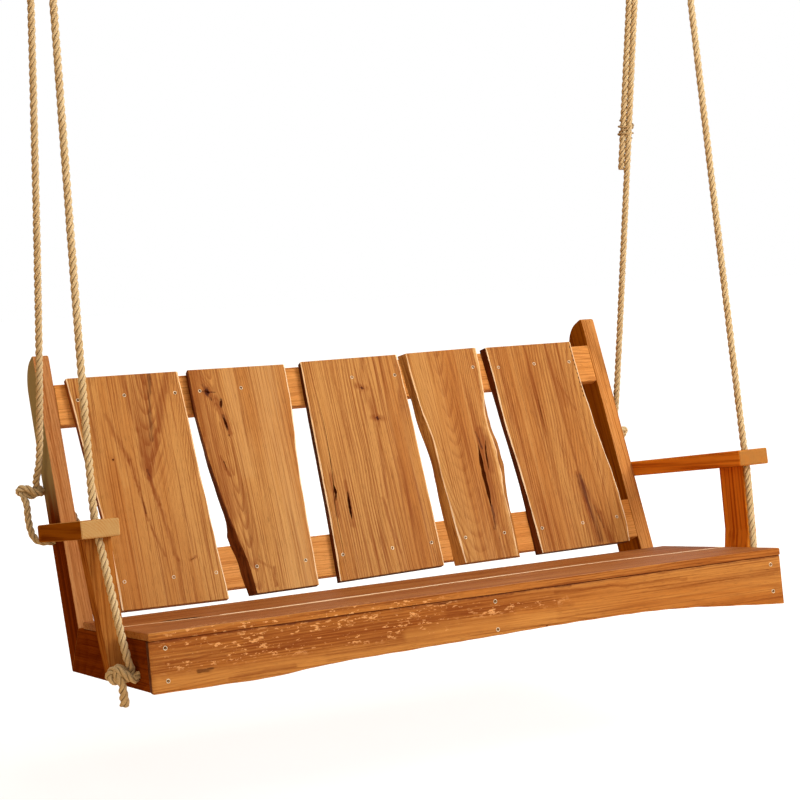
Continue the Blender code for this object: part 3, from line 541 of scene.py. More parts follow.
def wood(name, palette, axes="YXZ", frame_matrix=Matrix(), seed=0, pith=(0, -0.075),
         lean=(0.05, 0.06), spacing=0.0055, knots=(), strokes=(), contrast=1, rough=0.45,
         fleck=(), end_grain=None, patches=(), figure=None, shine=0.15):
    """Sawn wood: rings cut by the board's face, fibres, pores, knots, figure and drift.

    axes names the frame's axes along the grain, across it and through the board.
    knots are (along, across, size) in millimetres.
    strokes are soft bands (along, across, along, across, half width, strength, tone), in
    millimetres up to the half width, and dark if no tone is given.
    fleck gives areas in millimetres (along from, along to, across from, across to).
    patches tone one face, as painted shade and painted warm bounce light on faces turned from the
    light and as weathering: (its normal, from and to along the grain, tone, strength).
    figure fades the rings out between two heights along the grain.
    """
    n = new_material(name)
    inverse = frame_matrix.inverted()
    split = n.split(n.make("Mapping", {"Vector": n.coordinate("Object"),
                                       "Rotation": tuple(inverse.to_euler("XYZ")),
                                       "Location": inverse.translation}))
    along, across, depth = (split["XYZ".index(a)] for a in axes)
    spot = n.join(along, across, depth)

    def grain(k_along, k_across, shift=0, detail=1, rough=0.55):
        """Noise stretched along the grain."""
        scaled = n.vector("MULTIPLY", spot, (k_along, k_across, k_across))
        moved = (seed * 3.1 + shift, seed * 1.7, seed * 2.3 - shift)
        return n.noise(n.vector("ADD", scaled, moved), 1, detail, rough)

    def facing(normal):
        return n.vector("DOT_PRODUCT", n.coordinate("Normal"), normal)

    def squares(a, b):
        return n.plus(n.times(a, a), n.times(b, b))

    # the rings, about a pith that leans and wanders
    warp_a = n.minus(grain(2.2, 6), 0.5)
    warp_b = n.minus(grain(2.6, 5, 9), 0.5)
    y = n.fused(warp_a, 0.04, n.plus(n.fused(along, lean[0], -pith[0]), across))
    z = n.fused(warp_b, 0.022, n.plus(n.fused(along, lean[1], -pith[1]), depth))
    radius = n.math("SQRT", squares(y, z))
    dark_knot = None
    for a0, c0, size in metres(knots):
        da = n.divided(n.minus(along, a0), size * 1.5)
        dc = n.divided(n.minus(across, c0), size)
        far = squares(da, dc)
        radius = n.fused(n.math("EXPONENT", n.times(far, -0.35)), size * 1.4, radius)
        heart = n.math("EXPONENT", n.times(far, -2.6))
        dark_knot = n.larger(dark_knot, heart)
    rings = n.fused(grain(5, 45, 4), 0.55, n.divided(radius, spacing))
    phase = n.math("FRACT", rings)
    late = n.times(n.level(phase, 0.35, 0.88), n.level(phase, 1, 0.92))
    late = n.times(late, n.level(grain(1.5, 40, 12), 0.35, 0.68, 0.15, 1))
    if figure:
        late = n.times(late, n.level(along, figure[0], figure[1], 0.12, 1))

    # the grain's colours, layer over layer
    fibre = grain(12, 800, 0, 3, 0.6)
    lines = grain(3, 320, 15, 2, 0.6)
    streak = grain(1.6, 95, 5, 3, 0.6)
    pores = n.level(grain(45, 1300, 2), 0.6, 0.72)
    drift = grain(1.2, 9, 7, 3)
    colour = palette["pale"]
    for amount, tone in (
            (n.level(drift, 0.32, 0.68), "body"), (n.times(late, 0.55 * contrast), "dark"),
            (n.level(streak, 0.52, 0.74, 0, 0.7 * contrast), "dark"),
            (n.level(streak, 0.46, 0.28, 0, 0.6), "pale"),
            (n.level(lines, 0.53, 0.64, 0, 0.62 * contrast), "dark"),
            (n.level(fibre, 0.3, 0.7, 0, 0.26), "dark"), (n.times(pores, 0.5), "deep")):
        colour = n.mix(amount, colour, palette[tone])
    named = [(*stroke, "dark")[:7] for stroke in strokes]
    if strokes:
        wander = n.minus(grain(22, 30, 21, 3, 0.7), 0.5)
        moved = n.join(along, n.fused(wander, 0.016, across))
        broken = n.level(grain(5, 330, 17, 3, 0.65), 0.4, 0.58, 0.3, 1)
        flat = n.join(along, across)
    for a0, c0, a1, c1, width, strength, tone in metres(named, 2):
        crisp = tone in ("line", "gap")
        run = Vector((a1 - a0, c1 - c0, 0))
        rel = n.vector("SUBTRACT", flat if crisp else moved, (a0, c0, 0))
        share = n.vector("DOT_PRODUCT", rel, run / run.length_squared)
        share = n.math("ADD", share, 0, clamp=True)
        nearest = n.vector("MULTIPLY", n.join(share, share, share), run)
        off = n.vector("LENGTH", n.vector("SUBTRACT", rel, nearest))
        cover = n.level(off, width, width * 0.15, 0, strength)
        colour = n.mix(cover if crisp else n.times(cover, broken), colour,
                       MARKS.get(tone) or palette[tone])
    if knots:
        rough_edge = grain(90, 160, 1, 4, 0.75)
        core = n.plus(dark_knot, n.fused(rough_edge, 1.6, -0.8))
        core = n.times(n.level(core, 0.35, 0.75), n.level(dark_knot, 0.05, 0.3))
        colour = n.mix(n.level(dark_knot, 0.02, 0.5, 0, 0.5), colour, palette["dark"])
        colour = n.mix(n.times(core, 0.95), colour, palette["deep"])
    if fleck:
        zone = None
        for a0, a1, c0, c1 in metres(fleck):
            inside = n.level(along, a0, a0 + 0.1)
            for value, edge, full in ((along, a1, a1 - 0.1), (across, c0, c0 + 0.02),
                                      (across, c1, c1 - 0.02)):
                inside = n.times(inside, n.level(value, edge, full))
            zone = n.larger(zone, inside)
        clump = n.level(grain(10, 26, 8, 2), 0.35, 0.65)
        amount = n.fused(clump, 0.1, grain(70, 190, 3, 3, 0.65))
        mark = n.times(n.level(amount, 0.64, 0.685), zone)
        colour = n.mix(n.times(mark, 0.85), colour, FLECK)
    if end_grain:
        strength, tone = end_grain
        axis = frame_matrix.to_3x3().col["XYZ".index(axes[0])]
        face_on = n.level(n.math("ABSOLUTE", facing(axis)), 0.75, 0.95, 0, strength)
        ringed = n.mix(n.times(late, 0.55), tone, palette["body"])
        ringed = n.mix(n.level(fibre, 0.4, 0.7, 0, 0.25), ringed, palette["dark"])
        colour = n.mix(face_on, colour, ringed)
    # Patches by facing: painted shade and painted warm bounce light on faces turned from the
    # light, and weathering.
    for normal, low, high, toned, strength in patches:
        outer = n.level(facing(normal), 0.6, 0.9, 0, strength)
        mottled = n.fused(n.minus(drift, 0.5), 0.4, along)
        if isinstance(toned, dict):
            toned = n.mix(n.level(streak, 0.4, 0.65), toned["body"], toned["dark"])
        colour = n.mix(n.times(outer, n.level(mottled, low, high)), colour, toned)
    n.set(Base_Color=colour, Roughness=n.level(streak, 0.2, 0.8, rough - 0.06, rough + 0.12),
          Specular_IOR_Level=shine, IOR=1.3)
    height = n.fused(late, 0.4, n.fused(fibre, 0.5, n.times(pores, -0.8)))
    n.bump(height, 0.35, 0.0006)
    return n.mat


# ---- back slats
BACK_LEAN = radians(16.9)
BACK_FOOT = 0.536  # the back's frame at the height of the seat
SLAT_THICK = 0.02
GAP = 0.0003


def back_plane(stand_off):
    """The plane of the back, that far in front of its frame: x, up the lean, outward."""
    sine, cosine = sin(BACK_LEAN), cos(BACK_LEAN)
    y = BACK_FOOT - stand_off * cosine
    z = stand_off * sine
    return Matrix(((1, 0, 0, 0), (0, sine, -cosine, y), (0, cosine, sine, z), (0, 0, 0, 1)))


# Slats are numbered from the left. Left and right edges, in millimetres: (height along the
# lean, x in front, x behind, roughness), or three values where both x are the same.
SLATS = {
    1: (
        [(5, -661.5, 0.2), (130, -662.5, 0.2), (232, -669.5, -669, 0.2), (366, -682.5, -682, 0.2),
         (490, -692, 0.2), (569, -699, 0.2)],
        [(2, -406.5, 0.1), (132, -412.5, 0.1), (238, -416, 0.1), (324, -419.5, 0.1),
         (450, -422, 0.1), (567, -426.5, 0.1)]),
    2: (
        [(5, -340, -352, 1), (65, -344, -360, 1), (108, -351.5, -366.5, 1),
         (135, -358, -372.5, 1.2), (153, -361.7, -376.5, 1.2), (168, -365, -373.5, 1),
         (190, -369.4, -373, 0.6), (234, -377.5, -379, 0.5), (297, -387, 0.5),
         (347, -394, -392, 0.4), (435, -401, -398, 0.4), (501, -403.5, -401, 0.4),
         (568, -402.5, -400, 0.3)],
        [(7, -180.7, -181, 0.1), (136, -177, 0.2), (227, -173.5, 0.2), (317, -169, 0.2),
         (409, -160, 0.2), (460, -155, 0.2), (565, -152.5, 0.1)]),
    3: (
        [(8.5, -126, -127, 0.2), (136, -120, -120.5, 0.2), (257, -117, 0.2), (380, -114, 0.2),
         (568, -109.5, -109, 0.2)],
        [(15, 152, 0.1), (161, 154, 0.1), (286, 154.5, 0.1), (413, 156, 0.1), (569, 153, 0.1)]),
    4: (
        [(13, 210, 190, 0.5), (93, 206, 189, 0.6), (168, 202.5, 187, 0.6), (241, 199.5, 189, 0.6),
         (294, 200, 188, 0.6), (340, 198.5, 182, 0.6), (387, 191.5, 176, 0.6),
         (435, 184.5, 174, 0.5), (513, 180, 169, 0.4), (570, 178.5, 164, 0.4)],
        [(14.5, 359, 372, 0.6), (127, 361.5, 377, 1), (182, 362, 379, 1.2),
         (230, 366, 384, 1.4), (265, 367.5, 388, 1.4), (300, 366.5, 387, 1.4),
         (354, 361, 380, 1.2), (401, 364, 379, 0.8), (457, 374, 381, 0.5), (572, 380, 382, 0.2)]),
    5: (
        [(14, 427, 417, 0.4), (91, 425, 418, 0.4), (168, 422.5, 419, 0.4), (254, 418, 416.5, 0.3),
         (367, 411, 410, 0.3), (481, 410, 404, 0.3), (570, 407.6, 400, 0.3)],
        [(16.5, 684.5, 0.4), (62, 688.6, 0.4), (122, 689.4, 0.4), (188, 686.6, 0.4),
         (255, 679.4, 0.4), (317, 673, 0.4), (389, 668.5, 0.4), (448, 664, 0.4), (502, 662, 0.4),
         (569.5, 660.5, 0.4)]),
}


def eased(stations, t):
    """Values read at t, with a smooth cubic between stations."""
    count = len(stations)
    for k in range(count - 1):
        if t <= stations[k + 1][0] or k == count - 2:
            t0, t1 = stations[k][0], stations[k + 1][0]
            s = (t - t0) / (t1 - t0)
            values = []
            for c in range(1, len(stations[0])):
                p1, p2 = stations[k][c], stations[k + 1][c]
                before = stations[max(k - 1, 0)]
                after = stations[min(k + 2, count - 1)]
                m1 = (p2 - before[c]) / max(t1 - before[0], 1e-6) * (t1 - t0)
                m2 = (after[c] - p1) / max(after[0] - t0, 1e-6) * (t1 - t0)
                h = (2 * s**3 - 3 * s**2 + 1) * p1 + (s**3 - 2 * s**2 + s) * m1
                h += (-2 * s**3 + 3 * s**2) * p2 + (s**3 - s**2) * m2
                values.append(h)
            return values
    return stations[-1][1:]


CHAMFER_DROP = 0.5  # a chamfer's depth over its width
END_ROUND = 0.0012  # how far the ends are drawn in
END_RUN = 0.0015  # the end rounding's share of the length
FINE_JAG, COARSE_JAG = 0.0007, 0.0016  # how far a rough edge strays
SIDE_RIPPLE, FACE_RIPPLE = 0.0022, 0.00025


def live_board(name, left, right, thick, seed, chamfer=(0.0036, 0.0036), rows=96, columns=14):
    """A board with its own edges: pale chamfers, live sides. Board axes: x, along, depth.

    Faces carry slot 0 on both broad faces, 1 and 4 on the left and right chamfers, 2 on the
    sides and ends, 3 in the cracks.
    """
    left, right = ([(row[0], row[1], row[-2], row[-1]) for row in metres(stops, 1)]
                   for stops in (left, right))
    bm = bmesh.new()
    rings, kinds = [], []
    stations = [0, END_RUN]
    stations += [END_RUN + (1 - 2 * END_RUN) * k / rows for k in range(1, rows)]
    stations += [1 - END_RUN, 1]

    def jag(t, side, scale):
        fine = wavy(t * 60, seed * 5 + side, 0)
        coarse = wavy(t * 18, seed * 3 + side, 4)
        return scale * (FINE_JAG * fine + COARSE_JAG * coarse)

    def edge(stops, share, side, inset):
        """Height along, x in front and behind, roughness and chamfer width of one edge."""
        t = stops[0][0] + share * (stops[-1][0] - stops[0][0])
        front, rear, rough = eased(stops, t)
        front += jag(t, side, rough) + inset
        rear += jag(t, side + 0.3, rough) + inset
        wide = chamfer[side - 1] * (0.8 + 0.5 * wavy(t * 22, seed, side))
        return t, front, rear, rough, wide

    def blend(a, b, part):
        return a * (1 - part) + b * part

    def live_side(t, x_from, x_to, low, high, rough, shift, last_kind):
        """Five points down or up a side, rippled by how rough the edge is."""
        for k in range(5):
            depth = blend(low, high, k / 4)
            ripple = wavy(t * 26, depth * 90, seed + shift)
            x = blend(x_from, x_to, k / 4) + rough * SIDE_RIPPLE * ripple
            add(x, t, depth, 2 if k < 4 else last_kind)

    def add(x, t, z, kind):
        ring.append(bm.verts.new((x, t, z)))
        kinds.append(kind)

    for share in stations:
        inset = END_ROUND if share in (0, 1) else 0
        ring, kinds = [], []
        t_left, front_l, rear_l, rough_l, wide_l = edge(left, share, 1, inset)
        t_right, front_r, rear_r, rough_r, wide_r = edge(right, share, 2, -inset)
        top = thick / 2 - inset
        for c in range(columns + 1):
            x = blend(front_l + wide_l, front_r - wide_r, c / columns)
            t = blend(t_left, t_right, c / columns)
            ripple = FACE_RIPPLE * wavy(x * 25, t * 6, seed)
            add(x, t, top + ripple, 4 if c == columns else 0)
        live_side(t_right, front_r, rear_r, top - wide_r * CHAMFER_DROP, -top, rough_r, 5, 0)
        for c in range(1, 6):
            add(blend(rear_r, rear_l, c / 6), blend(t_right, t_left, c / 6), -top, 0)
        live_side(t_left, rear_l, front_l, -top, top - wide_l * CHAMFER_DROP, rough_l, 8, 1)
        rings.append(ring)
    for low, high in zip(rings, rings[1:]):
        for k, face in band(bm, low, high):
            face.material_index = kinds[k]
            face.smooth = True
    for ring in (rings[0], rings[-1]):
        face = bm.faces.new(ring)
        face.material_index = 2
    bmesh.ops.recalc_face_normals(bm, faces=bm.faces)
    return finish_mesh(bm, name)


def sharpen(obj, angle=28):
    """Flat breaks at sharp edges, smooth elsewhere."""
    bm = bmesh.new()
    bm.from_mesh(obj.data)
    for edge in bm.edges:
        if len(edge.link_faces) == 2 and edge.calc_face_angle() > radians(angle):
            edge.smooth = False
    bm.to_mesh(obj.data)
    bm.free()


CRACK_STEP = 0.006  # between the sections of a crack
CRACK_LIP = 0.002  # how far the cutter stands out of the board
CRACK_SLOT = 3


def carve(obj, cracks, surface):
    """Cut tapering cracks: (points in the board's plane, widest half width, depth), in mm."""
    bm = bmesh.new()
    for points, half_width, depth in cracks:
        even, total = resample([Vector((*p, 0)) for p in metres(points)], CRACK_STEP)
        rings = []
        for k, (point, tangent) in enumerate(zip(even, tangents_of(even))):
            out = Vector((tangent.y, -tangent.x, 0))
            share = k / (len(even) - 1)
            taper = max(0.04, sin(pi * share) ** 0.7)
            taper *= 0.8 + 0.35 * wavy(share * 9, total * 50, 0)
            wide = half_width / 1000 * taper
            deep = depth / 1000 * taper
            section = ((1, -CRACK_LIP), (1, deep * 0.3), (0.2, deep), (-0.3, deep * 0.9),
                       (-1, deep * 0.2), (-1, -CRACK_LIP))
            rings.append([bm.verts.new(point + out * wide * x + Vector((0, 0, surface - low)))
                          for x, low in section])
        for low, high in zip(rings, rings[1:]):
            band(bm, low, high)
        bm.faces.new(rings[0])
        bm.faces.new(rings[-1])
    for face in bm.faces:
        face.material_index = CRACK_SLOT
    bmesh.ops.recalc_face_normals(bm, faces=bm.faces)
    cutter = finish_mesh(bm, "crack_cutter")
    for mat in obj.data.materials:
        cutter.data.materials.append(mat)
    cutter.matrix_world = obj.matrix_world
    boolean = obj.modifiers.new("cracks", "BOOLEAN")
    boolean.operation = "DIFFERENCE"
    boolean.solver = "EXACT"
    boolean.use_self = True
    boolean.object = cutter
    cut_mesh = evaluated_mesh(obj)
    obj.modifiers.clear()
    obj.data = cut_mesh
    bpy.data.objects.remove(cutter)


def beside(slat, inset, width, strength, tone):
    """Strokes that follow a slat's right edge, that far inside it."""
    right = SLATS[slat][1]
    return [(p[0], p[1] - inset, q[0], q[1] - inset, width, strength, tone)
            for p, q in zip(right, right[1:])]


DOTS = [(t, 655.3 + (560 - t) * 0.029, t - 3.5, 655.4 + (560 - t) * 0.029, 2.2, 0.95, "gap")
        for t in (556 - 12.5 * k for k in range(12))]  # small checks down slat 5's right edge, painted near-black as the shade inside them
SLAT_LOOKS = {
    1: dict(
        seed=1.3, pith=(-0.584, -0.095), lean=(-0.13, -0.15), spacing=0.0066, contrast=1.1,
        figure=(0.24, 0.36), knots=((361, -621, 3.5),), strokes=(
            (568, -566, 428, -549, 13, 0.8), (428, -549, 309, -544, 10, 0.95),
            (562, -456, 424, -501, 14, 0.75), (424, -501, 309, -544, 10, 0.95),
            (568, -515, 340, -540, 30, 0.7), (568, -500, 400, -520, 7, 0.7, "deep"),
            (330, -544, 300, -541, 4, 0.6, "deep"), (470, -620, 357, -583, 9, 0.75),
            (357, -583, 282, -571, 7, 0.95), (290, -573, 209, -565, 6, 0.95),
            (265, -571, 225, -567, 3, 0.6, "deep"), (209, -565, 120, -540, 5, 0.7),
            (309, -544, 242, -530, 7, 0.85), (242, -530, 107, -512, 8, 0.75),
            (107, -512, 12, -517, 9, 0.5), (540, -640, 300, -600, 14, 0.45, "pale"),
            (103, -482, 110, -466, 6, 0.6))),
    2: dict(
        seed=2.7, pith=(-0.32, -0.03), lean=(0.05, -0.1), spacing=0.0048, contrast=1,
        knots=((508.5, -363.4, 13.5), (330, -355.5, 3.2), (395, -330, 3)), strokes=(
            (560, -205, 10, -225, 55, 0.5, "light"), (560, -300, 300, -300, 30, 0.35, "light"),
            (560, -385, 200, -360, 30, 0.5), (560, -375, 470, -345, 14, 0.6),
            (528, -370, 488, -357, 4, 0.9, "deep"), (512, -383, 506, -344, 3, 0.9, "deep"),
            (495, -345, 400, -325, 10, 0.75), (486, -333, 474, -335, 6, 0.9, "deep"),
            (446, -335, 410, -331, 5, 0.85, "deep"), (345, -362, 295, -348, 5, 0.9),
            (560, -398, 180, -372, 10, 0.6), (180, -375, 60, -325, 6, 0.5),
            (85, -320, 60, -290, 6, 0.5), (62, -284, 18, -288, 6, 0.8))),
    3: dict(
        seed=3.9, pith=(0.16, -0.15), lean=(0.02, 0.015), contrast=1.15,
        knots=((487, 38.8, 5), (405, 62.3, 6)), strokes=(
            (566, 55, 490, 39, 10, 0.7), (487, 39, 405, 62, 12, 0.75),
            (494, 26, 486, 48, 13, 0.8), (409, 50, 403, 76, 12, 0.85),
            (489, 33, 485, 43, 3, 0.8, "deep"), (406, 58, 404, 68, 3, 0.8, "deep"),
            (405, 62, 200, 40, 8, 0.55), (566, -30, 10, -20, 6, 0.45),
            (300, 95, 10, 100, 7, 0.45), (200, 25, 60, 45, 6, 0.55),
            (270, -90, 170, -98, 12, 0.7), (250, -60, 140, -64, 10, 0.6))),
    4: dict(
        seed=4.4, pith=(0.262, -0.085), lean=(0, -0.125), spacing=0.005, contrast=1.05, strokes=(
            (350, 335, 110, 318, 17, 0.7), (330, 345, 240, 342, 13, 0.65),
            (150, 316, 90, 312, 5, 0.7, "deep"), *beside(4, 4, 8.5, 0.85, "light"),
            (345, 322, 300, 328, 4, 0.8, "deep"), (500, 325, 440, 320, 3, 0.7),
            (560, 225, 100, 255, 20, 0.4, "pale"), (200, 290, 10, 280, 6, 0.4))),
    5: dict(
        seed=5.8, pith=(0.7, -0.11), lean=(-0.02, 0.06), contrast=1.15, strokes=(
            (568, 522, 416, 519, 6, 0.75), (416, 519, 330, 521, 5, 0.8),
            (568, 585, 400, 600, 18, 0.5), (470, 590, 380, 625, 6, 0.55),
            (400, 530, 120, 520, 4, 0.45), (210, 583, 136, 584, 11, 0.95),
            (136, 584, 28, 596, 16, 0.95), (185, 590, 100, 615, 10, 0.9),
            (100, 615, 15, 630, 12, 0.9), (200, 586, 30, 604, 13, 0.65, "deep"),
            (120, 606, 60, 618, 4, 0.7, "deep"), *DOTS)),
}
# Each crack: points (across, along), widest half width, depth, in millimetres.
CRACKS = {
    1: [([(-483, 102), (-470, 108)], 1.1, 2), ([(-623.5, 361.5), (-619.5, 359.5)], 1.2, 3)],
    2: [([(-332, 486), (-334.5, 475), (-336.5, 464)], 4, 8),
        ([(-336.5, 443), (-332.5, 428), (-330, 410)], 3.4, 7),
        ([(-370, 513), (-364, 509), (-356, 507)], 4, 7),
        ([(-357, 334), (-353.5, 322), (-353, 308)], 1.1, 3)],
    3: [([(-86, 507), (-83, 387), (-90, 258), (-98, 208), (-102, 110), (-104, 12)], 0.9, 5),
        ([(-92.5, 250), (-90, 228), (-94.5, 205)], 3.6, 9),
        ([(-59, 228), (-61.5, 195), (-63.5, 155)], 4.2, 11)],
    4: [([(320.5, 312), (317.5, 270), (316, 231), (316.5, 191), (315, 145)], 6.6, 13),
        ([(344, 322), (337, 290), (334.5, 262), (333, 240)], 2.6, 7)],
    5: [([(522.5, 420), (521.5, 385), (522, 340)], 1, 3)],
}
# The slats' live sides: bark and wood tones, darkened as painted shade on the sides turned away
# from the light.
SLAT_SIDES = {1: RED, 2: BARK_AND_SHADE, 3: BARK_AND_SHADE, 4: AMBER, 5: BARK_AND_SHADE}


def add_slats():
    place = BENCH @ back_plane(SLAT_THICK / 2 + GAP)
    # Crack walls in near-black bark tones: painted shade inside the cracks.
    crack_shade = wood("crack_shade_wood", BARK_AND_SHADE, seed=9, rough=0.6, shine=0)
    for number, (left, right) in SLATS.items():
        name = f"back_slat_{number}"
        looks = SLAT_LOOKS[number]
        seed = looks["seed"]
        board = live_board(name + "_live", left, right, SLAT_THICK, seed)
        board.matrix_world = place
        face = wood(name + "_face", GOLD, **looks)
        # The chamfers: pale sanded wood, brightened as a painted highlight.
        pale = wood(name + "_chamfer", SANDED_EDGE_AND_HIGHLIGHT, seed=seed + 20, contrast=0.5)
        side = wood(name + "_side", SLAT_SIDES[number], seed=seed + 30, rough=0.5)
        # Slat 2's left chamfer takes the dark side tone as painted shade.
        left_edge = side if number == 2 else pale
        for mat in (face, left_edge, side, crack_shade, pale):
            board.data.materials.append(mat)
        carve(board, CRACKS[number], SLAT_THICK / 2)
        sharpen(board)
        hand_over(board, [name])


# ---- seat boards and apron
HALF_WIDTH, SEAT_DEPTH, APRON_TOP = 762, 486, -16.3  # mm
SEAT_THICK = 0.016
APRON_FACE = 0.003
APRON_THICK = 0.019
# The seam between the seat boards and the apron's lower edge: (x, y) and (x, z), in mm.
SEAM = [
    (-762, 236), (-700, 226), (-637, 210), (-531, 200), (-431, 194), (-230, 207), (-30, 222),
    (170, 238), (372, 249), (500, 240), (640, 224), (762, 210)]
APRON_EDGE = [
    (-762, -121), (-620, -121), (-512, -121), (-441, -116), (-367, -111.5), (-250, -109),
    (-130, -107), (0, -105), (151, -102), (297, -101), (387, -102), (448, -104), (525, -109),
    (602, -116), (680, -123), (762, -130)]
# Board axes in the bench's frame: across, along, out of the face.
LYING = Matrix(((0, 1, 0, 0), (-1, 0, 0, 0), (0, 0, 1, -SEAT_THICK / 2), (0, 0, 0, 1)))
FACING = Matrix(((0, 1, 0, 0), (0, 0, -1, APRON_FACE + APRON_THICK / 2), (-1, 0, 0, 0),
                 (0, 0, 0, 1)))


def straight(across):
    """A plain edge of a long board, in millimetres like every edge."""
    return [(x, across, 0.1) for x in (-HALF_WIDTH, 0, HALF_WIDTH)]


def long_board(node, left, right, thick, frame_matrix, chamfer, looks, palettes, cracks=()):
    """A seat board or the apron; palettes: face, left edge, right edge, sides."""
    seed = looks["seed"]
    board = live_board(node + "_board", left, right, thick, seed, chamfer, rows=150, columns=10)
    board.matrix_world = BENCH @ frame_matrix
    main, edge, other_edge, side = palettes
    for part, palette, settings in (
            ("_face", main, looks), ("_chamfer", edge, dict(seed=seed + 20, contrast=0.6)),
            # Crack walls in near-black bark tones: painted shade inside the cracks.
            ("_side", side, looks), ("_crack_shade", BARK_AND_SHADE, dict(seed=3, shine=0)),
            ("_rim", other_edge, dict(seed=seed + 40, contrast=0.6))):
        board.data.materials.append(wood(node + part, palette, **settings))
    if cracks:
        carve(board, cracks, thick / 2)
    sharpen(board)
    hand_over(board, [node])


def add_long_boards():
    half = GAP * 500  # half the seam's gap, in millimetres
    seam_front = [(x, half - y, 0.3) for x, y in SEAM]
    seam_rear = [(x, -half - y, 0.3) for x, y in SEAM]
    seat = dict(
        seed=11, pith=(0.05, -0.06), lean=(0.015, 0.02), contrast=1.1, rough=0.5,
        fleck=((-780, -50, -45, 30),), strokes=(
            (-700, -140, 100, -170, 30, 0.5), (100, -60, 760, -50, 40, 0.4, "pale")))
    long_board("seat_board_front", seam_front, straight(0), SEAT_THICK, LYING,
               (0.0022, 0.0022), seat, (RED, RED, AMBER, AMBER),
               [([(-195, -640), (-190, -600), (-189, -565)], 2, 6)])
    # A painted highlight along the rear board's edge at the seam.
    seam_highlight = [(x0, -y0 - 7, x1, -y1 - 7, 11.5 if x0 < 100 else 7.5, 1, "line")
                  for (x0, y0), (x1, y1) in zip(SEAM, SEAM[1:]) if x0 > -550]
    rear = dict(
        seed=12, pith=(-0.36, -0.09), lean=(0.03, 0.02), rough=0.5, strokes=(
            (-760, -420, 200, -380, 30, 0.4), *seam_highlight,
            # A near-black stroke: painted shadow in the open slot at the seam's left end.
            (-645, -232, -590, -227, 21, 1, "gap")))
    # The rear board's edge at the seam is toned as a painted highlight.
    long_board("seat_board_rear", straight(-SEAT_DEPTH), seam_rear, SEAT_THICK, LYING,
               (0.0022, 0.0048), rear, (RED, RED, SANDED_EDGE_AND_HIGHLIGHT, AMBER))
    top = straight(-APRON_TOP)
    foot = [(x, -z, -z - 2, 0.35) for x, z in APRON_EDGE]
    apron = dict(
        seed=14.2, pith=(0.13, -0.045), lean=(0.03, 0.035), contrast=0.9,
        fleck=((-790, -50, 10, 90), (-100, 220, 30, 70), (-300, 20, 10, 45)), strokes=(
            (-760, 60, 20, 50, 60, 0.62), (-550, 50, -150, 70, 30, 0.6),
            (-100, 40, 160, 50, 18, 0.85), (50, 45, 200, 60, 10, 0.6),
            (-200, 75, 150, 80, 18, 0.7, "pale"), (200, 70, 760, 85, 35, 0.2, "pale"),
            # Dark strokes just under the apron's top: painted shadow under the seat board's edge.
            (-760, 19, 200, 19, 4.5, 0.9), (-500, 18.5, 200, 18.5, 3, 0.6, "deep"),
            (200, 19, 760, 19, 3.5, 0.6), (-750, 100, -400, 104, 20, 0.7, "pale"),
            (-665, 88, -635, 86, 6, 0.7, "deep"), (-600, 112, -460, 106, 8, 0.8),
            (-730, 64, -520, 50, 4, 0.7), (-600, 75, -300, 45, 4, 0.6),
            (160, 30, 500, 42, 6, 0.55), (400, 50, 740, 60, 4, 0.5)))
    # The apron's top chamfer in bark tones is painted shadow under the seat board's edge.
    long_board("front_apron", top, foot, APRON_THICK, FACING, (0.0026, 0.0014), apron,
               (AMBER, BARK_AND_SHADE, AMBER, BARK_AND_SHADE), [([(101, 128), (99, 134)], 2, 4)])


# ---- CAD boards' materials
def repaint(node, mat):
    data = frame["nodes"][node].data
    data.materials.clear()
    data.materials.append(mat)


ANYWHERE = (-9, -8)  # a patch over the whole length
WEATHERED = (0.42, 0.35, 0.19)


def paint_boards():
    leaning = BENCH @ back_plane(0)
    for node, seed, knot in (("upper_back_rail", 31, 520), ("lower_back_rail", 33.5, 100)):
        repaint(node, wood(node, RAIL, "XYZ", leaning, seed=seed, pith=(0.5, -0.1),
                           contrast=0.75, knots=((300, knot, 6),)))
    repaint("centre_rail", wood("centre_rail", BROWN_AND_SHADE, "YZX", BENCH, seed=17))
    repaint("rear_stretcher", wood("rear_stretcher", AMBER, "XYZ", BENCH, seed=18))
    post_frame = BENCH @ Matrix.Rotation(-BACK_LEAN, 4, "X")
    looks = {"left": (TAN, 0.9, GOLD, (0.95, PALE_END)),
             "right": (TAWNY, 0, ORANGE, (0.9, BROWN_END))}
    for sign, side in SIDES:
        post, worn, main, end = looks[side]
        seed = 21 if side == "left" else 22
        outward, inward = (tuple(BENCH.to_3x3() @ Vector((x, 0, 0))) for x in (sign, -sign))
        # The glow patch is painted warm bounce light on the inward faces.
        glow = (inward, *ANYWHERE, WARM_BOUNCE_TONE, 1)

        def paint(node, name, palette, axes, board_frame=BENCH, **settings):
            repaint(node + side, wood(name + side, palette, axes, board_frame, shine=0,
                                      **settings))

        # The side rails and the outward and inward patches in dark tones are painted shade on
        # faces turned away from the light; the weathered patch is weathering of the wood.
        paint("side_rail_", "rail_", BROWN_AND_SHADE, "YZX", seed=seed)
        paint("back_post_", "post_", post, "ZYX", post_frame, seed=seed + 3, pith=(0.6, -0.1),
              patches=((outward, *ANYWHERE, BROWN_AND_SHADE, 1), (inward, *ANYWHERE, UMBER_SHADE, 1),
                       (outward, 0.4, 0.58, WEATHERED, worn)))
        paint("arm_post_", "arm_post_wood_", main, "ZYX", seed=seed + 5, pith=(0.3, -0.9),
              patches=((outward, *ANYWHERE, AMBER, 0.8), glow))
        paint("armrest_", "armrest_wood_", main, "YXZ", seed=seed + 7, lean=(0, 0),
              pith=(sign * 0.86, 0.17), end_grain=end,
              patches=((outward, *ANYWHERE, UMBER_SHADE, 1), glow))


